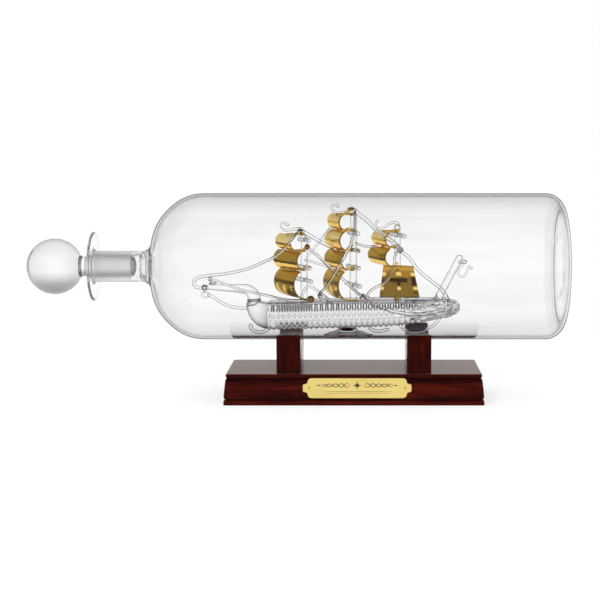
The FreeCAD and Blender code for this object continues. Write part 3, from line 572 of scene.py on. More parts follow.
def gold_mat(name, stops, streak=0.0, rough=0.1, tone=None):
    """Gold lustre on glass sheet, with painted reflections: its tone changes in
    bands down each sheet, dark and bright bands standing in for the room mirrored in the curved sheet."""
    m, nt, out = new_mat(name)
    uv = add(nt, "ShaderNodeUVMap", uv_map="uv")
    sep = add(nt, "ShaderNodeSeparateXYZ")
    nt.links.new(uv.outputs[0], sep.inputs[0])
    tc = add(nt, "ShaderNodeTexCoord")
    nz = add(nt, "ShaderNodeTexNoise")
    nz.inputs["Scale"].default_value = 160.0
    nz.inputs["Detail"].default_value = 3.0
    nt.links.new(tc.outputs["Object"], nz.inputs["Vector"])
    # a slight wander of the bands
    ma = add(nt, "ShaderNodeMath", operation="MULTIPLY_ADD")
    nt.links.new(nz.outputs["Fac"], ma.inputs[0])
    ma.inputs[1].default_value = 0.06
    if tone:
        at = add(nt, "ShaderNodeAttribute", attribute_name=tone, attribute_type="GEOMETRY")
        nt.links.new(at.outputs["Fac"], ma.inputs[2])
    else:
        nt.links.new(sep.outputs["Y"], ma.inputs[2])
    c = ramp(nt, ma.outputs[0], stops)
    colour = c.outputs[0]
    if streak > 0:
        w = add(nt, "ShaderNodeTexWave", wave_type="BANDS", bands_direction="X")
        w.inputs["Scale"].default_value = 0.9
        w.inputs["Distortion"].default_value = 2.0
        w.inputs["Detail"].default_value = 1.0
        nt.links.new(uv.outputs[0], w.inputs["Vector"])
        below = ramp(nt, sep.outputs["Y"], [(0.52, grey(0.0)), (0.60, grey(1.0)), (0.92, grey(1.0)), (0.97, grey(0.0))])
        wr0 = ramp(nt, w.outputs["Fac"], [(0.62, grey(0.0)), (0.84, grey(1.0))])
        wr = add(nt, "ShaderNodeMath", operation="MULTIPLY")
        nt.links.new(wr0.outputs[0], wr.inputs[0])
        nt.links.new(below.outputs[0], wr.inputs[1])
        mx = add(nt, "ShaderNodeMix", data_type="RGBA", blend_type="MIX")
        k = add(nt, "ShaderNodeMath", operation="MULTIPLY")
        k.inputs[1].default_value = streak
        nt.links.new(wr.outputs[0], k.inputs[0])
        nt.links.new(k.outputs[0], mx.inputs[0])
        nt.links.new(colour, mx.inputs[6])
        mx.inputs[7].default_value = (0.95, 0.70, 0.25, 1)
        colour = mx.outputs[2]
    b = add(nt, "ShaderNodeBsdfPrincipled")
    nt.links.new(colour, b.inputs["Base Color"])
    b.inputs["Metallic"].default_value = 1.0
    b.inputs["Specular Tint"].default_value = (0.97, 0.83, 0.55, 1)
    rr = ramp(nt, nz.outputs["Fac"], [(0.3, grey(rough * 0.7)), (0.7, grey(rough * 1.5))])
    nt.links.new(rr.outputs[0], b.inputs["Roughness"])
    bp = add(nt, "ShaderNodeBump")
    bp.inputs["Strength"].default_value = 0.08
    bp.inputs["Distance"].default_value = 0.0003
    nt.links.new(nz.outputs["Fac"], bp.inputs["Height"])
    nt.links.new(bp.outputs[0], b.inputs["Normal"])
    nt.links.new(b.outputs[0], out.inputs["Surface"])
    return m


# painted reflections: the dark and the bright colours below make the bands of the room mirrored in the curved gilt
# sheets
GOLD = (0.78, 0.47, 0.07, 1)
PALE = (0.68, 0.55, 0.27, 1)
BROWN = (0.26, 0.14, 0.012, 1)
GILT_DARK_REFLECTION = (0.022, 0.011, 0.002, 1)
GILT_BRIGHT_REFLECTION = (0.90, 0.66, 0.22, 1)
GOLD_A = gold_mat("gilt_pale", [(0.0, BROWN), (0.06, PALE), (0.54, PALE), (0.585, GILT_DARK_REFLECTION), (0.65, GILT_DARK_REFLECTION), (0.69, GOLD), (0.84, GILT_BRIGHT_REFLECTION), (0.95, GOLD), (1.0, BROWN)])
GOLD_A2 = gold_mat("gilt_soft", [(0.0, BROWN), (0.08, (0.46, 0.33, 0.11, 1)), (0.40, PALE), (0.50, (0.62, 0.46, 0.16, 1)), (0.56, (0.40, 0.24, 0.05, 1)), (0.64, GILT_BRIGHT_REFLECTION), (0.90, GOLD), (1.0, BROWN)])
GOLD_B = gold_mat("gilt_mid", [(0.0, BROWN), (0.10, (0.46, 0.27, 0.04, 1)), (0.34, (0.36, 0.21, 0.03, 1)), (0.55, (0.27, 0.15, 0.02, 1)), (0.60, GILT_DARK_REFLECTION), (0.66, GILT_DARK_REFLECTION), (0.70, GILT_BRIGHT_REFLECTION), (0.90, GOLD), (1.0, BROWN)])
GOLD_C = gold_mat("gilt_deep", [(0.0, BROWN), (0.10, (0.40, 0.24, 0.03, 1)), (0.40, (0.30, 0.17, 0.02, 1)), (0.44, GILT_DARK_REFLECTION), (0.51, GILT_DARK_REFLECTION), (0.55, (0.24, 0.14, 0.02, 1)), (0.95, (0.26, 0.15, 0.02, 1)), (1.0, GILT_DARK_REFLECTION)], streak=0.75)
GOLD_D = gold_mat("gilt_flat", [(0.0, GILT_DARK_REFLECTION), (0.10, (0.05, 0.027, 0.004, 1)), (0.38, (0.21, 0.125, 0.02, 1)), (0.55, (0.34, 0.19, 0.03, 1)), (0.75, GOLD), (1.0, GILT_BRIGHT_REFLECTION)], tone="painted_light")
GOLD_EDGE = gold_mat("gilt_rim", [(0.0, BROWN), (0.5, (0.12, 0.055, 0.006, 1)), (0.75, (0.30, 0.15, 0.015, 1)), (1.0, BROWN)])


# ----------------------------------------------------------------------
# the bottle: one seamless glass shell
# ----------------------------------------------------------------------
def bottle():
    o = []          # outer surface, from the closed end to the mouth
    rs = ((R - HEEL_R) ** 2 + PUNT ** 2) / (2 * PUNT)
    for r in np.linspace(0, R - HEEL_R, 60):
        o.append((END_X - PUNT + rs - math.sqrt(rs * rs - r * r), r))
    hx = END_X - HEEL_R
    for a in np.linspace(0, 90, 16)[1:]:
        t = math.radians(a)
        o.append((hx + HEEL_R * math.cos(t), R - HEEL_R + HEEL_R * math.sin(t)))
    for x in np.linspace(hx, SHOULDER_X, 24)[1:-1]:
        o.append((x, R))
    sh = [(-59.8, 47.5), (-67.4, 46.3), (-74.8, 42.9), (-82.4, 36.7), (-87.6, 30.2), (-90.9, 23.2),
          (-92.6, 16.4), (-94.6, 12.2), (-98.5, 10.0), (-104.0, 9.95)]
    S = catmull([(-50.0, 47.5, 0)] + [(x, r, 0) for x, r in sh], 1.1)
    S = [(p[0], min(p[1], R)) for p in S if p[0] <= SHOULDER_X + 0.01]
    o.extend(S)
    for x in (-110.0, -118.0, -126.0, MOUTH_X + 1.4 + 1.6):
        o.append((x, NECK_R))
    # the disc flange, fused on with a small fillet
    ft = 1.4
    fx = MOUTH_X + ft
    for a in (20, 45, 70, 90):
        t = math.radians(a)
        o.append((fx + 1.6 * (1 - math.sin(t)), NECK_R + 1.6 * (1 - math.cos(t))))
    for r in (14.0, 17.0, 20.0):
        o.append((fx, r))
    for a in np.linspace(0, 180, 9):
        t = math.radians(a)
        o.append((MOUTH_X + ft / 2 + ft / 2 * math.cos(t), FLANGE_R - ft / 2 + ft / 2 * math.sin(t)))
    for r in (20.0, 16.0, 12.0, 9.0):
        o.append((MOUTH_X, r))
    ground = [len(o)]
    o.append((MOUTH_X, 7.62))
    for x in np.linspace(MOUTH_X + 0.4, -106.9, 8):
        o.append((x, 7.60 - (x + 134.5) * 0.0216))
    ground.append(len(o))
    # clear neck with the thickened weld where it joins the shoulder
    for x, r in ((-105.5, 7.15), (-103.5, 7.5), (-101.0, 7.6), (-99.9, 7.5), (-99.3, 7.0), (-98.8, 6.7),
                 (-98.3, 6.7), (-97.7, 7.2), (-97.0, 7.8), (-96.0, 8.5), (-94.9, 9.5)):
        o.append((x, r))
    T = np.gradient(np.array(S), axis=0)
    inner = []
    for (x, r), t in zip(S, T):
        n = math.hypot(*t)
        ix, ir = x - t[1] / n * SHELL, r + t[0] / n * SHELL
        inner.append((ix, ir))
    inner = [p for p in reversed(inner) if p[1] > 9.8 and p[0] > -94.6]
    o.extend(inner)
    for x in np.linspace(SHOULDER_X, hx, 24)[1:]:
        o.append((x, R - SHELL))
    for a in np.linspace(90, 0, 14)[1:]:
        t = math.radians(a)
        o.append((hx + (HEEL_R - SHELL) * math.cos(t), R - HEEL_R + (HEEL_R - SHELL) * math.sin(t)))
    for r in np.linspace(R - HEEL_R, 0, 60)[1:]:
        o.append((END_X - SHELL - PUNT + rs - math.sqrt(rs * rs - r * r), r))
    V, F, K = revolve_geo(o, 192)
    fm = []
    for k in K:
        r0, r1 = o[k][1], o[(k + 1) % len(o)][1]
        flat = max(r0, r1) <= R - HEEL_R + 0.01 and o[k][0] > END_X - 8
        disc = o[k][0] < MOUTH_X + 1.5 and min(r0, r1) > NECK_R + 0.5
        fm.append(1 if ground[0] <= k < ground[1] else 2 if flat or disc else 0)
    # painted shade: dark rings in the end wall and the heel where the punt and heel bend the light, the patchy inner
    # ring also standing for the maker's pontil mark, and dark rings at the neck weld and the flange rim
    marks_and_painted_shade = []
    for x, y, z in V:
        r = math.hypot(y, z - AXIS_Z)
        a = math.atan2(z - AXIS_Z, y)
        d = 0.0
        if x > END_X - 5 and r < R - HEEL_R:
            patchy = 0.5 + 0.5 * math.sin(3 * a + 1.0) * math.sin(5 * a + 0.4)
            d = 0.62 * bell(r, 20.5 + 0.8 * math.sin(4 * a), 1.7) * patchy
            d += 0.42 * bell(r, 27.0, 1.1) * (0.5 + 0.5 * math.sin(2 * a + 2.2))
            d += 0.20 * bell(r, 33.5, 1.2) + 0.52 * bell(r, R - HEEL_R, 1.0)
        elif x > END_X - HEEL_R and r < R - 1.0:
            d = 0.22 * bell(r, R - HEEL_R + 5.0, 1.0) + 0.15 * bell(r, R - HEEL_R + 8.6, 0.7) + 0.52 * bell(r, R - HEEL_R, 1.0)
        elif -100.6 < x < -96.4 and r < 8.5:
            d = (0.72 + 0.28 * math.sin(7 * a + 1.3) * math.sin(11 * a)) * bell(x, -98.9 + 0.3 * math.sin(9 * a), 0.65)
        elif x < MOUTH_X + 1.5 and r > NECK_R + 2:
            d = 0.30 * bell(r, FLANGE_R - 0.8, 0.7) + 0.12 * bell(r, FLANGE_R - 4.0, 1.2)
        marks_and_painted_shade.append(d)
    ob = mesh_obj("bottle", V, F, [BOTTLE, FROST, BASE], smooth=50, face_mats=fm, painted_light=marks_and_painted_shade)
    return piece(ob, "bottle", ["bottle_tube", "bottle_end", "bottle_shoulder", "bottle_neck", "mouth_flange"])


bottle()


def stopper():
    br = 17.95
    bx = BALL_LEFT + br
    wall = 1.5
    st = 6.4
    px0, px1 = MOUTH_X - 2.9, -106.7
    o = []
    fil = 3.4
    d = math.sqrt((br + fil) ** 2 - (st + fil) ** 2)
    t = br / (br + fil)
    ang = math.atan2((st + fil) * t, d * t)
    for a in np.linspace(math.pi, ang, 40):
        o.append((bx + br * math.cos(a), br * math.sin(a) if a < math.pi else 0.0))
    a0, a1 = math.pi + ang, 1.5 * math.pi
    for a in np.linspace(a0, a1, 8)[1:]:
        o.append((bx + d + fil * math.cos(a), st + fil + fil * math.sin(a)))
    o.append((px0 - 1.6, st))
    o.append((px0 - 0.9, st + 0.05))
    o.append((px0 - 0.4, st + 0.5))
    g0 = len(o)
    o.append((px0, 7.4))
    o.append((px0 + 0.3, 7.55))
    for x in np.linspace(px0 + 1.2, px1 - 0.2, 12):
        o.append((x, 7.55 - (x - px0) * 0.0216))
    g1 = len(o) - 1
    for a in np.linspace(0, 90, 10):
        q = math.radians(a)
        o.append((px1 + 3.3 * math.sin(q), 6.93 * math.cos(q) if a < 90 else 0.0))
    # inside surface, back to the ball
    for a in np.linspace(90, 0, 9):
        q = math.radians(a)
        o.append((px1 + 1.7 * math.sin(q), 5.3 * math.cos(q) if a < 90 else 0.0))
    for x in np.linspace(px1 - 1.5, px0 + 1.0, 8):
        o.append((x, 5.35 + (px1 - x) * 0.018))
    sb = st - 1.7
    o.append((px0 - 0.6, sb + 0.2))
    rin = br - wall
    ia = math.asin(sb / rin)
    o.append((bx + rin * math.cos(ia) + 1.2, sb))
    for a in np.linspace(ia, math.pi, 34):
        o.append((bx + rin * math.cos(a), rin * math.sin(a) if a < math.pi else 0.0))
    V, F, K = revolve_geo(o, 128)
    stem = bx + br * 0.88
    fm = [1 if g0 <= k < g1 else 2 if stem < o[k][0] < px0 else 0 for k in K]
    ob = mesh_obj("stopper", V, F, [BALL, FROST, BASE], smooth=50, face_mats=fm)
    return piece(ob, "stopper", ["stopper_knob", "stopper_plug"])


stopper()


# ----------------------------------------------------------------------
# the stand
# ----------------------------------------------------------------------
def rounded_rect(lx, ly, r, n=4):
    pts = []
    for cx, cy, a0 in ((lx / 2 - r, ly / 2 - r, 0), (-lx / 2 + r, ly / 2 - r, 90),
                       (-lx / 2 + r, -ly / 2 + r, 180), (lx / 2 - r, -ly / 2 + r, 270)):
        for k in range(n + 1):
            a = math.radians(a0 + 90.0 * k / n)
            pts.append((cx + r * math.cos(a), cy + r * math.sin(a)))
    return pts


_blo, _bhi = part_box("stand_base")
SX = (_blo.x + _bhi.x) / 2 / MM
BX, BY = (_bhi.x - _blo.x) / MM, (_bhi.y - _blo.y) / MM
BH = _bhi.z / MM


def stand_base():
    # moulding profile: (inset from the largest outline, height)
    prof = [(0.9, 0.0), (0.25, 0.05), (0.0, 0.45), (0.0, 2.5), (0.18, 2.85), (0.75, 3.05), (0.85, 3.3), (0.85, 4.0),
            (0.75, 4.25), (0.3, 4.45), (0.16, 4.75), (0.22, 6.0), (0.45, 9.0), (0.78, 12.0), (1.15, 15.0), (1.3, 16.0),
            (1.42, 16.4), (1.9, 16.65), (2.05, 16.9), (2.05, 17.6), (1.9, 17.9), (1.6, 18.05), (1.5, 18.35),
            (1.5, 19.3), (1.6, 19.7), (1.95, 19.9), (2.6, BH)]
    # more rows on the long flats, so that the painted shade and highlight can vary between them
    fine = []
    for (i0, h0), (i1, h1) in zip(prof, prof[1:]):
        m = max(1, int(round((h1 - h0) / 0.9)))
        fine += [(i0 + (i1 - i0) * j / m, h0 + (h1 - h0) * j / m) for j in range(m)]
    prof = fine + [prof[-1]]
    rows, stain_and_painted_light = [], []
    for inset, z in prof:
        rows.append([(SX + x, y, z) for x, y in rounded_rect(BX - 2 * inset, BY - 2 * inset, 0.7, 4)])
        # painted shade in the grooves, the bands beside them and under the bottom edge; painted highlight on the top
        # arris, the middle of the ogee and above the foot
        d = 0.95 * bell(z, 3.65, 0.55) + 0.95 * bell(z, 17.25, 0.55) + 0.35 * bell(z, 5.2, 0.9) + 0.55 * bell(z, 15.6, 1.2)
        d += 0.30 * bell(z, 18.9, 0.4) - 0.65 * bell(z, 19.75, 0.22) - 0.18 * bell(z, 10.2, 2.6) - 0.22 * bell(z, 1.6, 1.0) + 0.5 * bell(z, 0.0, 0.3)
        stain_and_painted_light += [max(-1.0, min(1.0, d if z < BH - 0.01 else 0.0))] * len(rows[-1])
    V = [p for row in rows for p in row]
    n = len(rows[0])
    F = []
    for i in range(len(rows) - 1):
        for k in range(n):
            k2 = (k + 1) % n
            F.append((i * n + k, i * n + k2, (i + 1) * n + k2, (i + 1) * n + k))
    F.append(tuple(reversed(range(n))))
    F.append(tuple((len(rows) - 1) * n + k for k in range(n)))
    ob = mesh_obj("stand_base_moulded", V, F, [WOOD], smooth=32, painted_light=stain_and_painted_light)
    return piece(ob, "stand", ["stand_base"])


stand_base()


def cradle(node):
    lo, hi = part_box(node)
    x0, x1 = lo.x / MM, hi.x / MM
    y1 = hi.y / MM
    z0, z1 = lo.z / MM, hi.z / MM
    rr = R + 0.3
    yl = math.sqrt(rr * rr - (AXIS_Z - z1) ** 2)
    sec = [(-y1, z0), (y1, z0), (y1, z1 - 0.5), (y1 - 0.15, z1 - 0.15), (y1 - 0.5, z1), (yl + 0.3, z1), (yl, z1 - 0.12)]
    for y in np.linspace(yl, -yl, 41)[1:-1]:
        sec.append((y, AXIS_Z - math.sqrt(rr * rr - y * y)))
    sec += [(-yl, z1 - 0.12), (-yl - 0.3, z1), (-y1 + 0.5, z1), (-y1 + 0.15, z1 - 0.15), (-y1, z1 - 0.5)]
    n = len(sec)
    c = np.array([0.0, (z0 + z1) / 2])
    V = []
    e = 0.45
    for x, k in ((x0, e), (x0 + 0.13, e * 0.3), (x0 + e, 0.0), (x1 - e, 0.0), (x1 - 0.13, e * 0.3), (x1, e)):
        for i, (y, z) in enumerate(sec):
            # inset along the outline's own normal for an eased edge
            py, pz = sec[i - 1]
            ny_, nz_ = sec[(i + 1) % n]
            t = np.array([ny_ - py, nz_ - pz])
            t /= np.linalg.norm(t) + 1e-9
            V.append((x, y - t[1] * k * 1.0, max(z0, z + t[0] * k)))
    F = []
    for j in range(5):
        for i in range(n):
            i2 = (i + 1) % n
            F.append((j * n + i, j * n + i2, (j + 1) * n + i2, (j + 1) * n + i))
    F.append(tuple(range(n)))
    F.append(tuple(5 * n + i for i in reversed(range(n))))
    ob = mesh_obj(node + "_block", V, F, [WOOD_UP_SHADED], smooth=35)
    return piece(ob, "stand", [node])


cradle("cradle_left")
cradle("cradle_right")


def tilt(p, c, ang):
    """Turns a point about the X axis line through c."""
    y, z = p[1] - c[1], p[2] - c[2]
    s, k = math.sin(ang), math.cos(ang)
    return (p[0], c[1] + y * k - z * s, c[2] + y * s + z * k)


def nameplate():
    lo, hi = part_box("nameplate")
    cx = (lo.x + hi.x) / 2 / MM
    cz = 11.3
    hl = (hi.x - lo.x) / 2 / MM
    hh = 12.9 / 2
    ang = math.radians(-5.7)
    # the plate's back lies on the leaning face; find it from the CAD box
    yf = lo.y / MM + math.sin(abs(ang)) * hh + 1.0 * math.cos(ang)
    base = (cx, yf, cz)
    out = [(-hl + 5.6, -hh), (-hl + 3.9, -hh + 0.5), (-hl + 3.2, -hh + 1.6), (-hl + 2.9, -hh + 3.0), (-hl + 2.2, -hh + 3.6),
           (-hl + 0.6, -hh + 3.9), (-hl, -hh + 4.6), (-hl, hh - 4.6), (-hl + 0.6, hh - 3.9), (-hl + 2.2, hh - 3.6),
           (-hl + 2.9, hh - 3.0), (-hl + 3.2, hh - 1.6), (-hl + 3.9, hh - 0.5), (-hl + 5.6, hh)]
    out = out + [(-x, z) for x, z in reversed(out)]
    n = len(out)
    V = []
    for y, k in ((0.0, 0.0), (-0.75, 0.0), (-0.93, 0.10), (-1.0, 0.28), (-1.0, 0.55)):
        for i, (x, z) in enumerate(out):
            a, b = np.array(out[i - 1]), np.array(out[(i + 1) % n])
            t = (b - a) / (np.linalg.norm(b - a) + 1e-9)
            nx, nz = t[1], -t[0]          # inward normal of this outline
            V.append(tilt((cx + x + nx * k, yf + y, cz + z + nz * k), base, ang))
    F = []
    for j in range(4):
        for i in range(n):
            i2 = (i + 1) % n
            F.append((j * n + i, j * n + i2, (j + 1) * n + i2, (j + 1) * n + i))
    F.append(tuple(range(n)))
    F.append(tuple(4 * n + i for i in reversed(range(n))))
    ob = mesh_obj("nameplate_ticket", V, F, [PLATE], smooth=30)
    piece(ob, "stand", ["nameplate"])

    # engraved and filled ornament in place of lettering: a running wave
    # scroll with a fine rule below it
    geos = []

    def line(pts, w, d=0.06):
        C = catmull([(p[0], 0, p[1]) for p in pts], 0.25)
        T = np.gradient(C, axis=0)
        T /= np.linalg.norm(T, axis=1)[:, None] + 1e-12
        L, V2, F2 = len(C), [], []
        for i, (c, t) in enumerate(zip(C, T)):
            q = i / (L - 1)
            ww = w * (0.35 + 0.65 * min(1.0, 6 * q, 6 * (1 - q)))
            nx, nz = -t[2], t[0]
            for s, y in ((1, -0.985), (1, -0.985 - d), (-1, -0.985 - d), (-1, -0.985)):
                V2.append(tilt((cx + c[0] + nx * ww * s / 2, yf + y, cz + c[2] + nz * ww * s / 2), base, ang))
        for i in range(L - 1):
            for k in range(4):
                k2 = (k + 1) % 4
                F2.append((i * 4 + k, i * 4 + k2, (i + 1) * 4 + k2, (i + 1) * 4 + k))
        F2.append((3, 2, 1, 0))
        F2.append(tuple((L - 1) * 4 + k for k in range(4)))
        geos.append((V2, F2))

    # two waves plaited together on each side of a small star
    for sgn in (-1, 1):
        for ph0 in (0.0, math.pi):
            line([(sgn * (4.6 + 18.4 * q), 1.7 + 1.25 * math.sin(ph0 + q * 5 * math.pi) * (1 - 0.35 * q)) for q in np.linspace(0, 1, 51)], 0.50)
        line([(sgn * 23.6, 1.7), (sgn * 24.6, 1.7), (sgn * 25.6, 1.7)], 0.75)
    for k in range(4):
        a = math.radians(45 * k)
        ln = 2.3 if k % 2 == 0 else 1.3
        line([(-ln * math.cos(a), 1.7 - ln * math.sin(a)), (0, 1.7), (ln * math.cos(a), 1.7 + ln * math.sin(a))], 0.75)
    line([(-22.0, -2.3), (-8, -2.3), (8, -2.3), (22.0, -2.3)], 0.26)
    for k in range(23):
        x = -19.8 + k * 1.8
        line([(x - 0.35, -3.5), (x, -3.45), (x + 0.35, -3.5)], 0.42)
    V3, F3 = merge(geos)
    ob = mesh_obj("nameplate_scroll", V3, F3, [INK], smooth=30)
    piece(ob, "stand", ())


nameplate()

for n in ("nameplate_pins",):
    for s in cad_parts[n].material_slots:
        s.material = PIN
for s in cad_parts["cradle_screws"].material_slots:
    s.material = STEEL


# ----------------------------------------------------------------------
# hull
# ----------------------------------------------------------------------
_st = np.array(STATIONS)
_sx = catmull([(a, b, c, d) for a, b, c, d in STATIONS], 0.8)


def station(x):
    return (float(np.interp(x, _sx[:, 0], _sx[:, 1])), float(np.interp(x, _sx[:, 0], _sx[:, 2])),
            float(np.interp(x, _sx[:, 0], _sx[:, 3])))


def section(x, n, grow=None):
    """Points of the hull's section at x, from the near deck edge round the
    keel to the far deck edge, with the outward normals."""
    zt, zb, hb = station(x)
    d = zt - zb
    rr = (hb * hb + d * d) / (2 * d)
    zc = zb + rr
    a1 = math.atan2(hb, -(zt - zc)) if zt > zc else math.atan2(hb, zc - zt)
    out = []
    for t in np.linspace(-1, 1, n):
        a = t * a1
        out.append((np.array([x, rr * math.sin(a), zc - rr * math.cos(a)]), np.array([0, math.sin(a), -math.cos(a)]), a / a1))
    return out


def closed_loft(name, rows, mats, smooth=60, nodes=(), body="bottle", face_mats=None, painted_light=None):
    """Rows of equal length are closed loops; the ends are capped by fans."""
    n = len(rows[0])
    V = [p for row in rows for p in row]
    F = []
    for i in range(len(rows) - 1):
        for k in range(n):
            k2 = (k + 1) % n
            F.append((i * n + k, i * n + k2, (i + 1) * n + k2, (i + 1) * n + k))
    for i in (0, len(rows) - 1):
        c = len(V)
        V.append(np.mean([rows[i][k] for k in range(n)], axis=0))
        if painted_light is not None:
            painted_light = list(painted_light) + [0.0]
        for k in range(n):
            k2 = (k + 1) % n
            F.append((c, i * n + k2, i * n + k) if i == 0 else (c, i * n + k, i * n + k2))
    ob = mesh_obj(name, V, F, mats, smooth=smooth, face_mats=face_mats, painted_light=painted_light)
    return piece(ob, body, nodes)


def hull_pattern(x, side):
    """How deep the ribbed rod stands out (mm) and how dark its crevices are
    painted (painted shade), side running from 0 at the deck edge to 1 at the keel."""
    P = 3.5
    ph = ((x + 15.6) / P) % 1.0
    u = abs(ph - 0.5)                           # 0 mid rib, 0.5 in the groove
    fade = min(1.0, max(0.0, (92.0 - x) / 16.0)) * min(1.0, max(0.0, (x + 17.6) / 2.4))
    rib = 0.55 * math.sqrt(max(0.0, 1 - (2 * u) ** 2 * 0.92))
    dark = 0.0
    # upright loops along the gunwale, their gaps in painted shade
    t = (side + 0.022) / 0.262
    if 0 < t < 1:
        if x < 30:
            gap = 0.13 + 0.13 * t
        else:
            gap = 0.10 + 0.20 * math.sin(math.pi * min(1, t * 1.05))
        line = bell(u, gap, 0.17)
        dark = max(dark, min(1.0, 1.35 * line) * min(1.0, 6 * t) * min(1.0, 6 * (1 - t)))
        if -9 < x < 12:
            dark = max(dark, 1.0 * min(1.0, 5 * t) * min(1.0, 2.5 * (1 - t)) * (0.45 + 0.55 * bell(u, 0.5, 0.24)))
    # painted shade along the deck edge
    if side < 0.055:
        dark = max(dark, 0.9 * (1 - side / 0.055))
    # rows of pinched dimples below them, in painted shade
    if x < 64:
        dark = max(dark, 0.85 * bell(side, 0.352, 0.032) * bell(u, 0.17, 0.11))
        dark = max(dark, 0.60 * bell(side, 0.315, 0.024) * bell(u, 0.5, 0.14))
    dark = max(dark, 0.78 * bell(side, 0.455, 0.030) * bell(u, 0.30, 0.11))
    if x < 9:
        dark = max(dark, min(1.0, 1.5 * bell(side, 0.545, 0.042) * bell(u, 0.36, 0.15)) * min(1.0, max(0.0, (x + 14) / 4)))
        dark = max(dark, min(1.0, 1.5 * bell(side, 0.640, 0.044) * bell(u, 0.12, 0.13)) * min(1.0, max(0.0, (x + 12) / 3)))
    # painted shade in the wedges between the bulbs along the bilge
    wedge = max(0.0, (2 * u) ** 3.0)
    dark = max(dark, 0.75 * wedge * min(1.0, max(0.0, (side - 0.66) / 0.16)))
    # painted shade deepening towards the keel
    if side > 0.90:
        dark = max(dark, 0.34 * min(1.0, (side - 0.90) / 0.06))
    bulb = 0.45 * bell(side, 0.80, 0.10) * (1 - 2 * u)
    return (rib - 0.25 + bulb - 0.5 * dark) * fade, dark * fade


def hull_main():
    x0, x1 = -17.6, 99.3
    nx = int((x1 - x0) / 0.22)
    rows, painted_light = [], []
    N = 84
    for i in range(nx + 1):
        x = x0 + (x1 - x0) * i / nx
        row = []
        for p, nrm, t in section(x, N):
            g, dk = hull_pattern(x, 1 - abs(t))
            row.append(p + nrm * g)
            # dk is painted shade for the crevices, kept in the per-point attribute
            painted_light.append(dk)
        a, b = row[-1], row[0]
        for k in range(1, 8):
            q = k / 8
            row.append(a + (b - a) * q + np.array([0, 0, 0.25 * math.sin(math.pi * q)]))
            painted_light.append(0.0)
        rows.append(row)
    closed_loft("hull_ribbed", rows, [HULL], smooth=50, nodes=("hull_body", "hull_ribs"), painted_light=painted_light)


def hull_bow():
    rows, painted_light = [], []
    N = 48
    xs = [-31.6 + (-17.3 + 31.6) * (k / 40) ** 1.6 for k in range(41)]
    for x in xs:
        row = []
        for p, nrm, t in section(x, N):
            row.append(p)
            side = 1 - abs(t)
            # painted shade, deepening towards the ribbed body and down to the keel, with bands at the joint and at the
            # bow tip
            join = min(1.0, max(0.0, (x + 25.5) / 8.0))
            painted_light.append(min(0.8, 0.50 * join ** 1.5 * (0.45 + 0.75 * side) + 0.10 * bell(x, -17.6, 1.6)
                              + 0.30 * bell(x, -31.4, 0.9)))
        a, b = row[-1], row[0]
        for k in range(1, 8):
            q = k / 8
            row.append(a + (b - a) * q + np.array([0, 0, 0.5 * math.sin(math.pi * q)]))
            painted_light.append(0.0)
        rows.append(row)
    closed_loft("hull_bow_smooth", rows, [BOW], nodes=("hull_bow",), painted_light=painted_light)


def hull_stern():
    rng = np.random.default_rng(7)
    ph = rng.uniform(0, 6.28, 12)
    rows, painted_light = [], []
    N = 56
    for x in np.linspace(99.0, 107.6, 52):
        row = []
        for p, nrm, t in section(min(x, 107.59), N):
            w = 0.45 * math.sin(1.9 * x + 7 * t + ph[0]) + 0.40 * math.sin(3.1 * x - 13 * t + ph[1]) + 0.30 * math.sin(1.3 * x + 21 * t + ph[2])
            row.append(p + nrm * (w * 0.62 - 0.1))
            # painted shade in the hollows of the crinkles
            painted_light.append(max(0.0, min(1.0, -0.25 - 1.6 * w)) * 0.85)
        a, b = row[-1], row[0]
        for k in range(1, 8):
            q = k / 8
            row.append(a + (b - a) * q + np.array([0, 0, 0.4 * math.sin(math.pi * q) + 0.15 * math.sin(9 * q + 3 * x)]))
            # light painted shade over the closing deck strip
            painted_light.append(0.2)
        rows.append(row)
    closed_loft("stern_lump_crinkled", rows, [HULL], nodes=("stern_lump",), painted_light=painted_light)
    # drawn strands that gather into the stern on both sides
    geos = []
    for sgn in (-1, 1):
        for k in range(9):
            t0 = 0.97 - 0.085 * k
            r = 0.40 + 0.32 * rng.random()
            x0 = 66.0 + 9.0 * rng.random() + 1.6 * k
            pts, rad = [], []
            for j, x in enumerate(np.linspace(x0, 104.5 - 1.2 * (k % 3), 12)):
                sec = section(x, 201)
                q = t0 + 0.035 * math.sin(0.35 * x + 1.7 * k) + 0.02 * rng.uniform(-1, 1)
                p, nrm, tt = sec[int(round((sgn * min(1.0, q) + 1) / 2 * 200))]
                pts.append(p + nrm * (0.25 + 0.25 * rng.random()))
                rad.append(r * (0.75 + 0.5 * rng.random()))
            geos.append(tube_geo(pts, rad, 10))
    V, F = merge(geos)
    piece(mesh_obj("stern_strands", V, F, [STRAND]), "bottle", ())


hull_main()
hull_bow()
hull_stern()


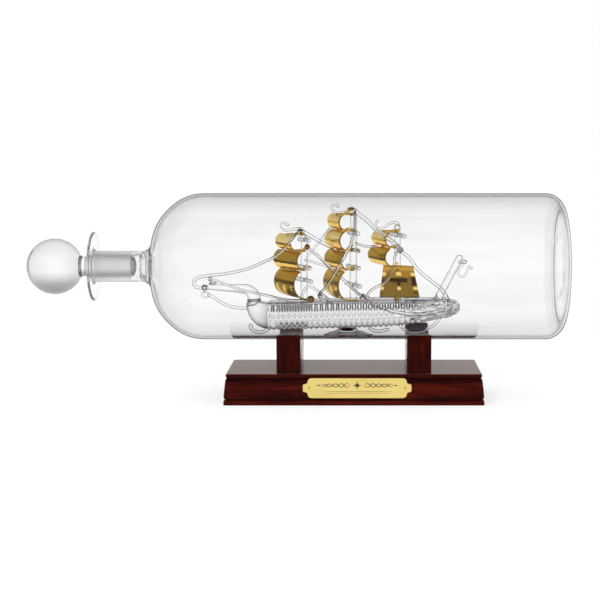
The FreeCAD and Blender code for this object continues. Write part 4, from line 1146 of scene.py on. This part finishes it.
def pedestal():
    lo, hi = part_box("pedestal")
    px = (lo.x + hi.x) / 2 / MM
    prof = []
    # flared foot melted to the wall, waisted post, up to the keel
    for r, h in ((15.4, 0.0), (14.6, 0.35), (13.2, 0.75), (11.0, 1.2), (9.2, 1.8), (7.8, 2.6), (6.9, 3.4), (6.3, 4.3), (6.1, 5.2), (6.0, 6.0)):
        prof.append((r, h))
    seg = 64
    V, F = [], []
    for r, h in prof:
        for k in range(seg):
            a = 2 * math.pi * k / seg
            lobes = max(0.0, 1 - h / 2.2)
            wob = 1 + (0.03 * math.sin(3 * a + 1) + 0.02 * math.sin(5 * a)) + lobes * (0.05 * math.sin(7 * a + 0.5) + 0.03 * math.sin(11 * a))
            x, y = r * wob * math.cos(a), r * wob * math.sin(a)
            wall = AXIS_Z - math.sqrt((R - SHELL) ** 2 - y * y)
            floor = AXIS_Z - (R - SHELL)
            blend = max(0.0, 1 - h / 3.0)
            z = floor + h + (wall - floor) * blend - (0.25 if h == 0 else 0.0)
            V.append((px + x, y, z))
    n = len(prof)
    for i in range(n - 1):
        for k in range(seg):
            k2 = (k + 1) % seg
            F.append((i * seg + k, i * seg + k2, (i + 1) * seg + k2, (i + 1) * seg + k))
    c = len(V)
    V.append((px, 0, AXIS_Z - (R - SHELL) - 0.25))
    V.append((px, 0, V[(n - 1) * seg][2]))
    for k in range(seg):
        k2 = (k + 1) % seg
        F.append((c, k2, k))
        F.append((c + 1, (n - 1) * seg + k, (n - 1) * seg + k2))
    piece(mesh_obj("pedestal_flared", V, F, [BOW]), "bottle", ["pedestal"])
    # weld bubble caught between post and keel, painted fully dark: painted shade at the joint
    V, F = blob_geo((px - 0.1, -4.4, 45.2), 1.0, 28, 14, (4.3, 2.0, 1.3))
    piece(mesh_obj("pedestal_weld", V, F, [HULL], painted_light=[1.0] * len(V)), "bottle", ())


pedestal()


# ----------------------------------------------------------------------
# rods
# ----------------------------------------------------------------------
def rod(name, pts, r, node, mat=SHIP, seg=14, step=0.7, extra=()):
    geos = [tube_geo(pts, r, seg, step)] + list(extra)
    V, F = merge(geos)
    ob = mesh_obj(name, V, F, [mat])
    return piece(ob, "bottle", [node] if node else ())


def vary(pts, r, amp=0.06, seed=1):
    rng = np.random.default_rng(seed)
    return [r * (1 + amp * rng.uniform(-1, 1)) for _ in pts]


for side in (-1, 1):
    pts = []
    for x in np.linspace(-16.5, 99.0, 20):
        zt, zb, hb = station(x)
        pts.append((x, side * (hb - 0.5), zt + 0.35))
    rod("deck_rail_" + ("near" if side < 0 else "far"), pts, 0.8, "deck_rails" if side < 0 else None, RAIL)

SPRIT = [(-26.6, 63.9, 4.5), (-26.7, 65.6, 4.3), (-27.6, 68.1, 4.04), (-30.3, 70.6, 3.46), (-34.5, 71.5, 3.0),
         (-39.7, 71.8, 2.61), (-45.6, 72.0, 2.22), (-51.5, 72.2, 1.83), (-56.7, 72.4, 1.5)]
rod("bowsprit_drawn", [(x, 0, z) for x, z, r in SPRIT], [r for x, z, r in SPRIT], "bowsprit", MAST, seg=32,
    extra=[ring_geo((-26.7, 0, 63.6), 3.9, 0.75, "z", 40, 12)])
V, F = merge([
    tube_geo([(-55.0, -3.0, 78.1), (-54.6, -2.7, 76.8), (-54.3, -2.4, 75.6)], [1.5, 0.8, 0.9], 12),
    ring_geo((-53.2, -2.4, 75.2), 1.9, 0.7, "z"),
    blob_geo((-58.9, 0, 72.3), 1.9, wob=0.08, seed=3),
    ring_geo((-58.3, 0, 67.6), 2.2, 0.75, "y", squash=0.85),
    tube_geo([(-58.9, 0, 72.3), (-58.8, 0, 71.0), (-58.6, 0, 69.6)], [0.9, 0.7, 0.9], 12),
])
piece(mesh_obj("bowsprit_beads", V, F, [SHIP]), "bottle", ["bowsprit_fittings"])

rod("bobstay_rod", [(-56.1, 0, 67.3), (-52.8, 0, 65.6), (-48.3, 0, 62.5), (-42.5, 0, 59.9), (-36.6, 0, 58.8), (-30.7, 0, 58.6)], 1.0, "bobstay")
rod("bow_hook_rod", [(-17.1, 0, 45.2), (-20.7, 0, 42.9), (-25.0, 0, 42.7), (-28.2, 0, 44.4), (-29.1, 0, 47.0)], [1.25, 1.2, 1.15, 1.15, 1.25], "bow_hook", HOOK, step=0.4)
rod("keel_hook_rod", [(48.3, 0, 46.6), (50.4, 0, 44.2), (54.0, 0, 43.1), (57.6, 0, 43.6), (60.6, 0, 44.4)], 1.15, "keel_hook", HOOK, step=0.4)
rod("rudder_loop_rod", [(68.7, 0, 47.2), (71.3, 0, 44.6), (75.2, 0, 43.0), (79.8, 0, 42.8), (84.4, 0, 44.0), (88.3, 0, 45.9), (91.6, 0, 48.2), (94.5, 0, 51.4)], 1.0, "rudder_loop", step=0.5)

rod("foremast_rod", [(6.0, 0, 61.8), (6.0, 0, 75), (6.1, 0, 90), (6.1, 0, 103.9), (4.8, 0, 107.2), (3.9, 0, 109.6)], [2.3, 2.3, 2.2, 2.2, 1.9, 2.2], "foremast", MAST, seg=24)
rod("mainmast_rod", [(38.1, 0, 62.5), (38.1, 0, 80), (38.2, 0, 100), (38.2, 0, 118.4), (37.4, 0, 122.6)], [2.4, 2.4, 2.3, 2.2, 2.2], "mainmast", MAST, seg=24)
rod("mizzenmast_rod", [(67.0, 0, 62.8), (66.9, 0, 80), (66.8, 0, 100), (66.8, 0, 111.4)], [2.3, 2.2, 2.1, 2.0], "mizzenmast", MAST, seg=24)


def yard(mx, z, length, yaw, r=1.5):
    s, c = math.sin(math.radians(yaw)), math.cos(math.radians(yaw))
    h = length / 2 - r
    return tube_geo([(mx - s * h, c * h, z), (mx - s * h * 0.3, c * h * 0.3, z + 0.15), (mx + s * h * 0.3, -c * h * 0.3, z + 0.15), (mx + s * h, -c * h, z)],
                    [r * 1.05, r * 0.95, r * 0.95, r * 1.05], 14)


for name, rows in (("fore_yards", [(6.1, 103.4, 17, 28), (6.1, 85.6, 19, 28), (6.0, 77.2, 24, 28)]),
                   ("main_yards", [(38.2, 107.8, 18, 22), (38.1, 96.8, 20, 22), (38.1, 85.7, 22, 22), (38.1, 74.1, 26, 22)]),
                   ("mizzen_yards", [(66.9, 106.4, 24, 23)])):
    V, F = merge([yard(*a) for a in rows])
    piece(mesh_obj(name + "_rods", V, F, [YARD]), "bottle", [name])


# ----------------------------------------------------------------------
# sails
# ----------------------------------------------------------------------
def sail(node, mast_x, ahead, zt, zb, width, belly, yaw, mat, links=()):
    c = zt - zb
    rad = (c * c / 4 + belly * belly) / (2 * belly)
    cen = belly - rad
    half = math.atan2(c / 2, -cen) if cen <= 0 else math.pi - math.atan2(c / 2, cen)
    zm = (zt + zb) / 2
    s, k = math.sin(math.radians(yaw)), math.cos(math.radians(yaw))
    n = np.array([-k, -s, 0.0])
    d = np.array([s, -k, 0.0])       # far to near
    base = np.array([mast_x, 0.0, 0.0]) + n * ahead
    NU, NV = 22, 26
    T = 0.9
    rows = []

    def pt(u, v, inset):
        a = half * (1 - 2 * v) * 1.02
        rr = rad - inset
        # the sheet sags a little more in the middle of its width
        sag = 0.35 * (1 - (2 * u - 1) ** 2)
        f = cen + rr * math.cos(a) + sag
        z = zm + rr * math.sin(a)
        edge = 0.35 * math.sin(math.pi * v) * (2 * u - 1)      # edges bow outwards
        return base + n * f + d * ((u - 0.5) * width + edge) + np.array([0, 0, z])

    V, uv = [], []
    for inset in (0.0, T):
        for i in range(NU + 1):
            for j in range(NV + 1):
                u, v = i / NU, j / NV
                V.append(pt(u, v, inset))
                uv.append((u, v))
    M = (NU + 1) * (NV + 1)

    def ix(i, j, layer):
        return layer * M + i * (NV + 1) + j

    F = []
    for i in range(NU):
        for j in range(NV):
            F.append((ix(i, j, 0), ix(i + 1, j, 0), ix(i + 1, j + 1, 0), ix(i, j + 1, 0)))
            F.append((ix(i, j, 1), ix(i, j + 1, 1), ix(i + 1, j + 1, 1), ix(i + 1, j, 1)))
    for i in range(NU):
        for j in (0, NV):
            F.append((ix(i, j, 0), ix(i, j, 1), ix(i + 1, j, 1), ix(i + 1, j, 0)))
    n_sheet = len(F)
    for j in range(NV):
        for i in (0, NU):
            F.append((ix(i, j, 0), ix(i, j + 1, 0), ix(i, j + 1, 1), ix(i, j, 1)))
    n_rim = len(F)
    # links of gilded glass drawn out from the sheet to the mast
    g = [(V, F)]
    top = pt(0.5, 0.0, T / 2)
    g.append(tube_geo([top, (top + np.array([mast_x, 0, zt + 0.4])) / 2 + np.array([0, 0, -0.2]), (mast_x, 0, zt - 0.4)], [1.0, 0.8, 1.0], 12))
    for path in links:
        g.append(tube_geo([pt(*path[0]) if len(path[0]) == 3 and path[0][2] < 3 else path[0]] + [np.array(p, float) for p in path[1]], path[2], 12, 0.5, flat=0.55))
    V2, F2 = merge(g)
    uv2 = uv + [(0.5, 0.78)] * (len(V2) - len(uv))
    fm = [0] * n_sheet + [1] * (n_rim - n_sheet) + [0] * (len(F2) - n_rim)
    ob = mesh_obj(node + "_gilt", V2, F2, [mat, GOLD_EDGE], smooth=50, uvs=uv2, face_mats=fm)
    return piece(ob, "bottle", [node])


sail("fore_topgallant", 5.6, 11.2, 107.5, 97.4, 24.0, 3.4, 25.0, GOLD_A,
     [((0.97, 0.02, 0.45), [(2.6, -12.0, 108.6), (4.0, -3.5, 109.0)], [0.9, 0.8, 1.0]),
      ((0.96, 0.98, 0.45), [(4.4, -15.8, 97.8), (8.6, -17.2, 99.6)], [1.1, 1.0, 1.2])])
sail("fore_topsail", 6.1, 10.8, 96.9, 85.0, 30.0, 3.6, 32.0, GOLD_B,
     [((0.98, 0.02, 0.45), [(6.5, -17.6, 98.8), (8.7, -17.3, 100.0)], [1.2, 1.0, 1.3]),
      ((0.97, 0.98, 0.45), [(6.8, -14.0, 85.4), (7.2, -4.0, 85.6)], [1.0, 0.9, 0.9])])
sail("fore_course", 6.1, 10.0, 84.5, 67.4, 30.0, 4.8, 27.0, GOLD_C,
     [((0.97, 0.985, 0.45), [(7.0, -14.5, 66.2), (10.6, -10.5, 65.9)], [1.2, 1.1, 1.3])])
sail("main_royal", 38.2, 11.1, 120.4, 110.6, 24.0, 2.8, 18.0, GOLD_A2,
     [((0.97, 0.02, 0.45), [(32.8, -9.0, 121.4), (36.8, -2.5, 122.8)], [1.0, 0.9, 1.2])])
sail("main_topgallant", 38.2, 10.9, 110.1, 97.5, 28.0, 4.0, 20.0, GOLD_A2,
     [((0.97, 0.02, 0.45), [(34.6, -9.0, 111.2), (37.6, -2.4, 110.6)], [1.0, 1.3, 1.1]),
      ((0.97, 0.98, 0.45), [(34.5, -12.0, 98.2), (37.8, -2.6, 100.0)], [1.1, 1.0, 0.9])])
sail("main_topsail", 38.1, 10.6, 97.0, 85.0, 30.0, 3.8, 21.5, GOLD_B,
     [((0.97, 0.98, 0.45), [(35.4, -12.0, 85.2), (37.6, -3.0, 87.0)], [1.2, 1.0, 0.9])])
sail("main_course", 38.1, 11.4, 84.5, 66.2, 30.0, 4.4, 19.0, GOLD_C,
     [((0.97, 0.985, 0.45), [(35.4, -13.0, 65.6), (40.4, -6.5, 64.8)], [1.2, 1.1, 1.2])])
sail("mizzen_topgallant", 66.8, 10.0, 109.4, 99.5, 24.0, 3.4, 20.0, GOLD_A2,
     [((0.97, 0.02, 0.45), [(64.0, -9.0, 110.3), (66.4, -2.2, 110.0)], [1.0, 1.0, 0.9]),
      ((0.97, 0.98, 0.45), [(64.8, -11.0, 100.2), (66.6, -3.5, 99.4)], [1.1, 1.0, 0.9])])
sail("mizzen_topsail", 66.9, 11.3, 99.0, 87.6, 28.0, 3.8, 21.5, GOLD_B,
     [((0.97, 0.98, 0.45), [(64.0, -12.0, 87.4), (66.6, -3.0, 88.6)], [1.1, 0.9, 0.9])])


def spanker():
    top = [(57.6, 87.0), (67.0, 87.3), (77.0, 86.6)]
    bot = [(55.1, 66.2), (68.0, 66.0), (81.3, 66.2)]
    NU, NV, T = 60, 52, 0.9

    def box(u, v, u0, u1, v0, v1, soft=0.012):
        a = min(1.0, max(0.0, (u - u0) / soft + 0.5)) * min(1.0, max(0.0, (u1 - u) / soft + 0.5))
        return a * min(1.0, max(0.0, (v - v0) / soft + 0.5)) * min(1.0, max(0.0, (v1 - v) / soft + 0.5))

    def tone(u, v):
        # painted reflections: bright flashes and dark patches where the room is mirrored in the gilt
        q = 0.52 if v < 0.36 else 0.36
        q += 0.10 * math.exp(-((v - 0.10) / 0.05) ** 2)
        for u0, u1 in ((-0.05, 0.12), (0.42, 0.60), (0.86, 1.05)):
            q = max(q, 0.98 * box(u, v, u0, u1, 0.20, 0.33, 0.06))
        for u0, u1 in ((-0.05, 0.10), (0.45, 0.56), (0.87, 1.05)):
            q = max(q, 0.92 * box(u, v, u0, u1, 0.65, 0.77, 0.04))
        d = max(box(u, v, 0.25, 0.74, 0.40, 0.52), box(u, v, 0.46, 0.55, 0.50, 0.63), box(u, v, 0.86, 0.98, 0.36, 0.63),
                box(u, v, -0.1, 0.10, 0.41, 0.51), 0.6 * box(u, v, 0.0, 0.07, 0.82, 0.90), 0.6 * box(u, v, 0.86, 0.97, 0.80, 0.88),
                0.5 * box(u, v, -0.1, 1.1, 0.965, 1.1))
        return q * (1 - d) + 0.02 * d

    V, uv, painted_reflections = [], [], []
    for layer in (0, 1):
        for i in range(NU + 1):
            for j in range(NV + 1):
                u, v = i / NU, j / NV
                a = [np.interp(u, [0, 0.5, 1], [p[k] for p in top]) for k in (0, 1)]
                b = [np.interp(u, [0, 0.5, 1], [p[k] for p in bot]) for k in (0, 1)]
                x = a[0] + (b[0] - a[0]) * v
                z = a[1] + (b[1] - a[1]) * v
                y = -4.4 - 0.35 * math.sin(math.pi * u) * math.sin(math.pi * v) + layer * T
                V.append((x, y, z))
                uv.append((u, v))
                painted_reflections.append(tone(u, v))
    M = (NU + 1) * (NV + 1)

    def ix(i, j, l):
        return l * M + i * (NV + 1) + j
    F = []
    for i in range(NU):
        for j in range(NV):
            F.append((ix(i, j, 0), ix(i + 1, j, 0), ix(i + 1, j + 1, 0), ix(i, j + 1, 0)))
            F.append((ix(i, j, 1), ix(i, j + 1, 1), ix(i + 1, j + 1, 1), ix(i + 1, j, 1)))
        for j in (0, NV):
            F.append((ix(i, j, 0), ix(i, j, 1), ix(i + 1, j, 1), ix(i + 1, j, 0)))
    for j in range(NV):
        for i in (0, NU):
            F.append((ix(i, j, 0), ix(i, j + 1, 0), ix(i, j + 1, 1), ix(i, j, 1)))
    V2, F2 = merge([(V, F),
                    tube_geo([(66.9, -4.2, 84.0), (66.9, -1.0, 84.0)], 1.0, 12),
                    tube_geo([(66.5, -3.9, 64.2), (66.5, -3.9, 67.2)], [1.5, 1.1], 12)])
    uv2 = uv + [(0.5, 0.75)] * (len(V2) - len(uv))
    painted_reflections += [0.5] * (len(V2) - len(painted_reflections))
    ob = mesh_obj("spanker_gilt", V2, F2, [GOLD_D], smooth=50, uvs=uv2, painted_light=painted_reflections)
    piece(ob, "bottle", ["spanker"])


spanker()

# ----------------------------------------------------------------------
# rigging
# ----------------------------------------------------------------------
rod("forestay_rod", [(3.3, -3, 109.0), (2.4, -11, 108.7), (1.1, -17.5, 107.5), (-1.7, -20.5, 103.9), (-5.8, -20.5, 99.1),
                     (-11.7, -17.5, 94.0), (-20.4, -13, 89.6), (-28.4, -9.5, 85.9), (-38.4, -6, 83.0), (-48.4, -3, 81.1),
                     (-57.1, -1, 80.0), (-63.1, 0, 78.5), (-65.9, 0, 76.2), (-65.5, 0, 73.5), (-62.6, 0, 72.0), (-57.3, 0, 71.9)],
    [1.0, 0.95, 0.9, 0.9, 0.9, 0.92, 0.95, 0.95, 0.95, 1.0, 1.0, 1.05, 1.1, 1.05, 1.0, 1.1], "forestay", step=0.6)
rod("jib_stay_rod", [(-54.7, -3, 78.1), (-50.3, -4, 76.9), (-45.0, -5.5, 75.1), (-38.4, -7.5, 73.0), (-31.1, -9.5, 71.1),
                     (-23.3, -11, 69.5), (-15.5, -12.5, 68.1), (-8.3, -13, 66.4), (-1.2, -13, 65.4), (5.2, -12, 65.4), (9.8, -10.5, 66.2)],
    0.8, "jib_stay")
rod("fore_main_stay_rod", [(5.5, 0, 108.8), (11.3, 0, 105.4), (17.8, 0.4, 101.6), (24.9, 1.0, 97.9), (27.0, 1.2, 97.0)], [1.3, 1.2, 1.15, 1.1, 1.1], "fore_main_stay")
rod("topmast_stay_rod", [(23.5, 6, 111.3), (17.0, 4, 103.1), (8.6, 1, 92.8)], 0.7, "topmast_stay")
rod("fore_brace_rod", [(9.0, -17.5, 99.8), (17.1, -20.5, 93.4), (24.1, -22, 86.8), (29.8, -22, 81.7), (35.5, -19, 75.9), (39.9, -15, 71.3), (43.8, -11, 67.6)], 0.9, "fore_brace")
rod("main_shroud_rod", [(39.3, -2, 121.6), (39.2, -8, 116.1), (38.7, -14.5, 109.5), (36.8, -20, 102.2), (33.6, -22.5, 95.8), (29.5, -22.9, 89.1),
                        (25.3, -21.5, 81.9), (20.7, -17, 74.4), (16.7, -12.5, 69.4), (17.4, -10.2, 66.3), (21.8, -9.2, 63.4)], 0.9, "main_shroud", step=0.5)
rod("main_backstay_rod", [(38.9, -1, 122.5), (46.4, -6, 116.7), (52.7, -12.5, 111.0), (59.1, -18.4, 106.4), (63.5, -18.4, 103.2), (66.9, -12, 100.1), (68.3, -6, 97.3)],
    [1.5, 1.4, 1.4, 1.4, 1.4, 1.4, 1.5], "main_backstay", MAST, step=0.5)
rod("mizzen_backstay_rod", [(68.7, -5.6, 96.9), (74.1, -7, 92.3), (78.7, -7.5, 86.1), (82.6, -7, 82.1), (88.5, -6, 77.3), (94.4, -5, 72.5), (97.7, -4, 68.4), (100.4, -3, 63.7)], 1.1, "mizzen_backstay")
rod("mizzen_shroud_rod", [(66.7, -7, 96.7), (64.9, -10.5, 93.1), (64.5, -13, 88.2), (61.8, -14, 81.5), (57.3, -13.8, 76.3), (51.5, -12.5, 73.0), (47.9, -11, 69.5), (46.4, -9, 64.6)], 0.9, "mizzen_shroud", step=0.5)
for side in (1, -1):
    rod("side_swag_" + ("near" if side > 0 else "far"),
        [(x, side * y, z) for x, y, z in [(44.4, -9.3, 66.2), (46.9, -11.0, 64.6), (51.5, -12.0, 62.5), (58.0, -12.3, 60.1), (65.1, -12.2, 57.8),
                                          (72.8, -11.6, 56.5), (81.3, -10.7, 56.3), (89.1, -9.7, 57.0), (96.9, -8.2, 58.6)]],
        1.1, "side_swags" if side > 0 else None)
rod("short_stays_rods", [(39.5, 0, 101.3), (44.5, 3, 99.3), (49.2, 5.6, 98.6), (53.4, 8, 99.0)], 0.8, "short_stays",
    extra=[tube_geo([(7.0, 0, 90.3), (13.8, 2, 88.2), (20.9, 4, 85.6), (25.4, 5, 84.2)], 0.8)])
rod("fore_ratline_rod", [(5.5, -7.2, 62.6), (5.2, -8, 67.2), (6.3, -8, 71.2), (8.6, -8.2, 73.6), (11.4, -8.4, 73.3), (15.3, -8.5, 70.8), (19.9, -8.5, 67.5), (23.7, -8.2, 63.6)], 0.8, "fore_ratline", step=0.5)

V, F = merge([
    tube_geo([(3.2, -1, 110.6), (-1.6, -1, 110.2), (-5.8, -1, 109.6), (-8.4, -1, 111.4), (-8.5, -1, 113.6), (-6.5, -1, 114.6), (-4.4, -1, 113.2)], [1.1, 0.9, 0.8, 0.7, 0.7, 0.7, 1.1], 12, 0.4),
    tube_geo([(36.6, -1, 123.2), (31.9, -1, 121.5), (27.6, -1, 121.2), (24.7, -1, 122.6), (24.0, -1, 124.9), (25.9, -1, 126.1), (28.3, -1, 125.2)], [1.1, 0.9, 0.8, 0.7, 0.7, 0.7, 1.0], 12, 0.4),
    tube_geo([(66.9, 0, 111.2), (66.6, 0, 113.8), (63.9, 0, 114.7), (60.3, 0, 112.9), (56.5, 0, 110.9), (53.6, 0, 111.2), (52.7, 0, 113.4), (53.9, 0, 115.5)], [1.5, 1.2, 0.9, 0.8, 0.9, 0.7, 0.7, 0.9], 12, 0.4),
    tube_geo([(110.5, 0, 88.9), (108.0, 0, 85.7), (106.3, 0, 82.4), (107.4, 0, 79.6), (110.0, 0, 79.6), (112.1, 0, 82.7), (113.4, 0, 86.0), (115.1, 0, 84.9)], [1.0, 0.8, 0.7, 0.7, 0.7, 0.7, 0.7, 0.9], 12, 0.35),
])
piece(mesh_obj("pennants_curled", V, F, [SHIP]), "bottle", ["pennants"])
rod("stern_staff_rod", [(91.9, 0, 62.2), (97.0, 0, 72.0), (102.0, 0, 81.6), (107.1, 0, 91.2)], [2.5, 2.45, 2.4, 2.4], "stern_staff", STAFF, seg=24,
    extra=[tube_geo([(107.4, 0, 89.2), (109.0, 0, 89.3), (110.6, 0, 89.2)], [1.2, 1.4, 1.5], 14)])
V, F = merge([
    blob_geo((68.3, -5.6, 97.2), 2.2, wob=0.05, seed=12),
    blob_geo((44.3, -10.5, 66.9), 2.0, wob=0.05, seed=13),
    blob_geo((16.7, -11.5, 68.3), 1.7, wob=0.05, seed=15),
])
piece(mesh_obj("rigging_beads", V, F, [STRAND]), "bottle", ["rigging_knobs"])
V, F = merge([
    blob_geo((8.9, -17.3, 100.2), 1.8, wob=0.07, seed=11),
    blob_geo((10.8, -10.0, 65.8), 2.3, wob=0.07, seed=14),
    blob_geo((36.7, -1.2, 123.3), 1.5, scale=(1.5, 1.0, 0.85), wob=0.06, seed=21),
    blob_geo((3.6, -1.4, 109.2), 1.4, scale=(1.2, 1.0, 1.0), wob=0.06, seed=22),
])
piece(mesh_obj("rigging_beads_gilt", V, F, [GOLD_EDGE], uvs=[(0.5, 0.3 + 0.4 * (i % 20) / 20) for i in range(len(V))]), "bottle", ())


# ----------------------------------------------------------------------
# stage, light, camera
# ----------------------------------------------------------------------
def floor():
    me = bpy.data.meshes.new("floor")
    s = 12.0
    me.from_pydata([(-s, -s, 0), (s, -s, 0), (s, s, 0), (-s, s, 0)], [], [(0, 1, 2, 3)])
    ob = bpy.data.objects.new("floor", me)
    bpy.context.scene.collection.objects.link(ob)
    m, nt, out = new_mat("floor_pale")
    tc = add(nt, "ShaderNodeTexCoord")
    ln = add(nt, "ShaderNodeVectorMath", operation="LENGTH")
    nt.links.new(tc.outputs["Object"], ln.inputs[0])
    mr = add(nt, "ShaderNodeMapRange")
    mr.inputs["From Min"].default_value = 0.10
    mr.inputs["From Max"].default_value = 0.55
    mr.inputs["To Min"].default_value = 0.62
    nt.links.new(ln.outputs["Value"], mr.inputs["Value"])
    d = add(nt, "ShaderNodeBsdfDiffuse")
    d.inputs[0].default_value = (0.93, 0.93, 0.93, 1)
    e = add(nt, "ShaderNodeEmission")
    e.inputs[0].default_value = (1, 1, 1, 1)
    e.inputs[1].default_value = 1.0
    mx = add(nt, "ShaderNodeMixShader")
    nt.links.new(mr.outputs[0], mx.inputs[0])
    nt.links.new(d.outputs[0], mx.inputs[1])
    nt.links.new(e.outputs[0], mx.inputs[2])
    nt.links.new(mx.outputs[0], out.inputs["Surface"])
    me.materials.append(m)


floor()

world = bpy.data.worlds.new("studio")
bpy.context.scene.world = world
world.use_nodes = True
nt = world.node_tree
nt.nodes.clear()
wo = nt.nodes.new("ShaderNodeOutputWorld")
bg = nt.nodes.new("ShaderNodeBackground")
tc = nt.nodes.new("ShaderNodeTexCoord")
sp = nt.nodes.new("ShaderNodeSeparateXYZ")
nt.links.new(tc.outputs["Generated"], sp.inputs[0])
rm = ramp(nt, sp.outputs["Z"], [(0.0, grey(1.0)), (0.16, grey(1.0)), (0.40, grey(0.80)), (0.66, grey(0.48)), (1.0, grey(0.30))])
nt.links.new(rm.outputs[0], bg.inputs["Color"])
bg.inputs["Strength"].default_value = 1.0
nt.links.new(bg.outputs[0], wo.inputs["Surface"])


def area(name, loc, target, sx, sy, power):
    L = bpy.data.lights.new(name, "AREA")
    L.shape = "RECTANGLE"
    L.size, L.size_y = sx, sy
    L.energy = power
    ob = bpy.data.objects.new(name, L)
    ob.location = loc
    d = Vector(target) - Vector(loc)
    ob.rotation_euler = d.to_track_quat("-Z", "Y").to_euler()
    ob.visible_glossy = False
    ob.visible_transmission = False
    bpy.context.scene.collection.objects.link(ob)
    return ob


area("key_soft", (-0.7, -1.0, 1.3), (0, 0, 0.07), 0.9, 0.9, 14)
area("fill_soft", (1.1, -0.7, 0.9), (0.03, 0, 0.07), 0.8, 0.8, 6)
area("top_soft", (0.0, 0.3, 1.5), (0, 0, 0.05), 1.2, 0.8, 10)

cam = bpy.data.cameras.new("camera")
co = bpy.data.objects.new("camera", cam)
bpy.context.scene.collection.objects.link(co)
co.location = (0.0425, -0.90726, 0.17126)
co.rotation_euler = (math.radians(90 - 6.741), 0, 0)
cam.sensor_width = 36.0
cam.lens = 36.0 * 1398.7 / 600.0
cam.shift_x = -0.1
cam.clip_start = 0.01
bpy.context.scene.camera = co

sc = bpy.context.scene
sc.view_settings.view_transform = "Standard"
sc.view_settings.look = "None"
sc.cycles.max_bounces = 28
sc.cycles.transmission_bounces = 28
sc.cycles.glossy_bounces = 10
sc.cycles.diffuse_bounces = 3
sc.cycles.transparent_max_bounces = 32
sc.cycles.sample_clamp_indirect = 8.0
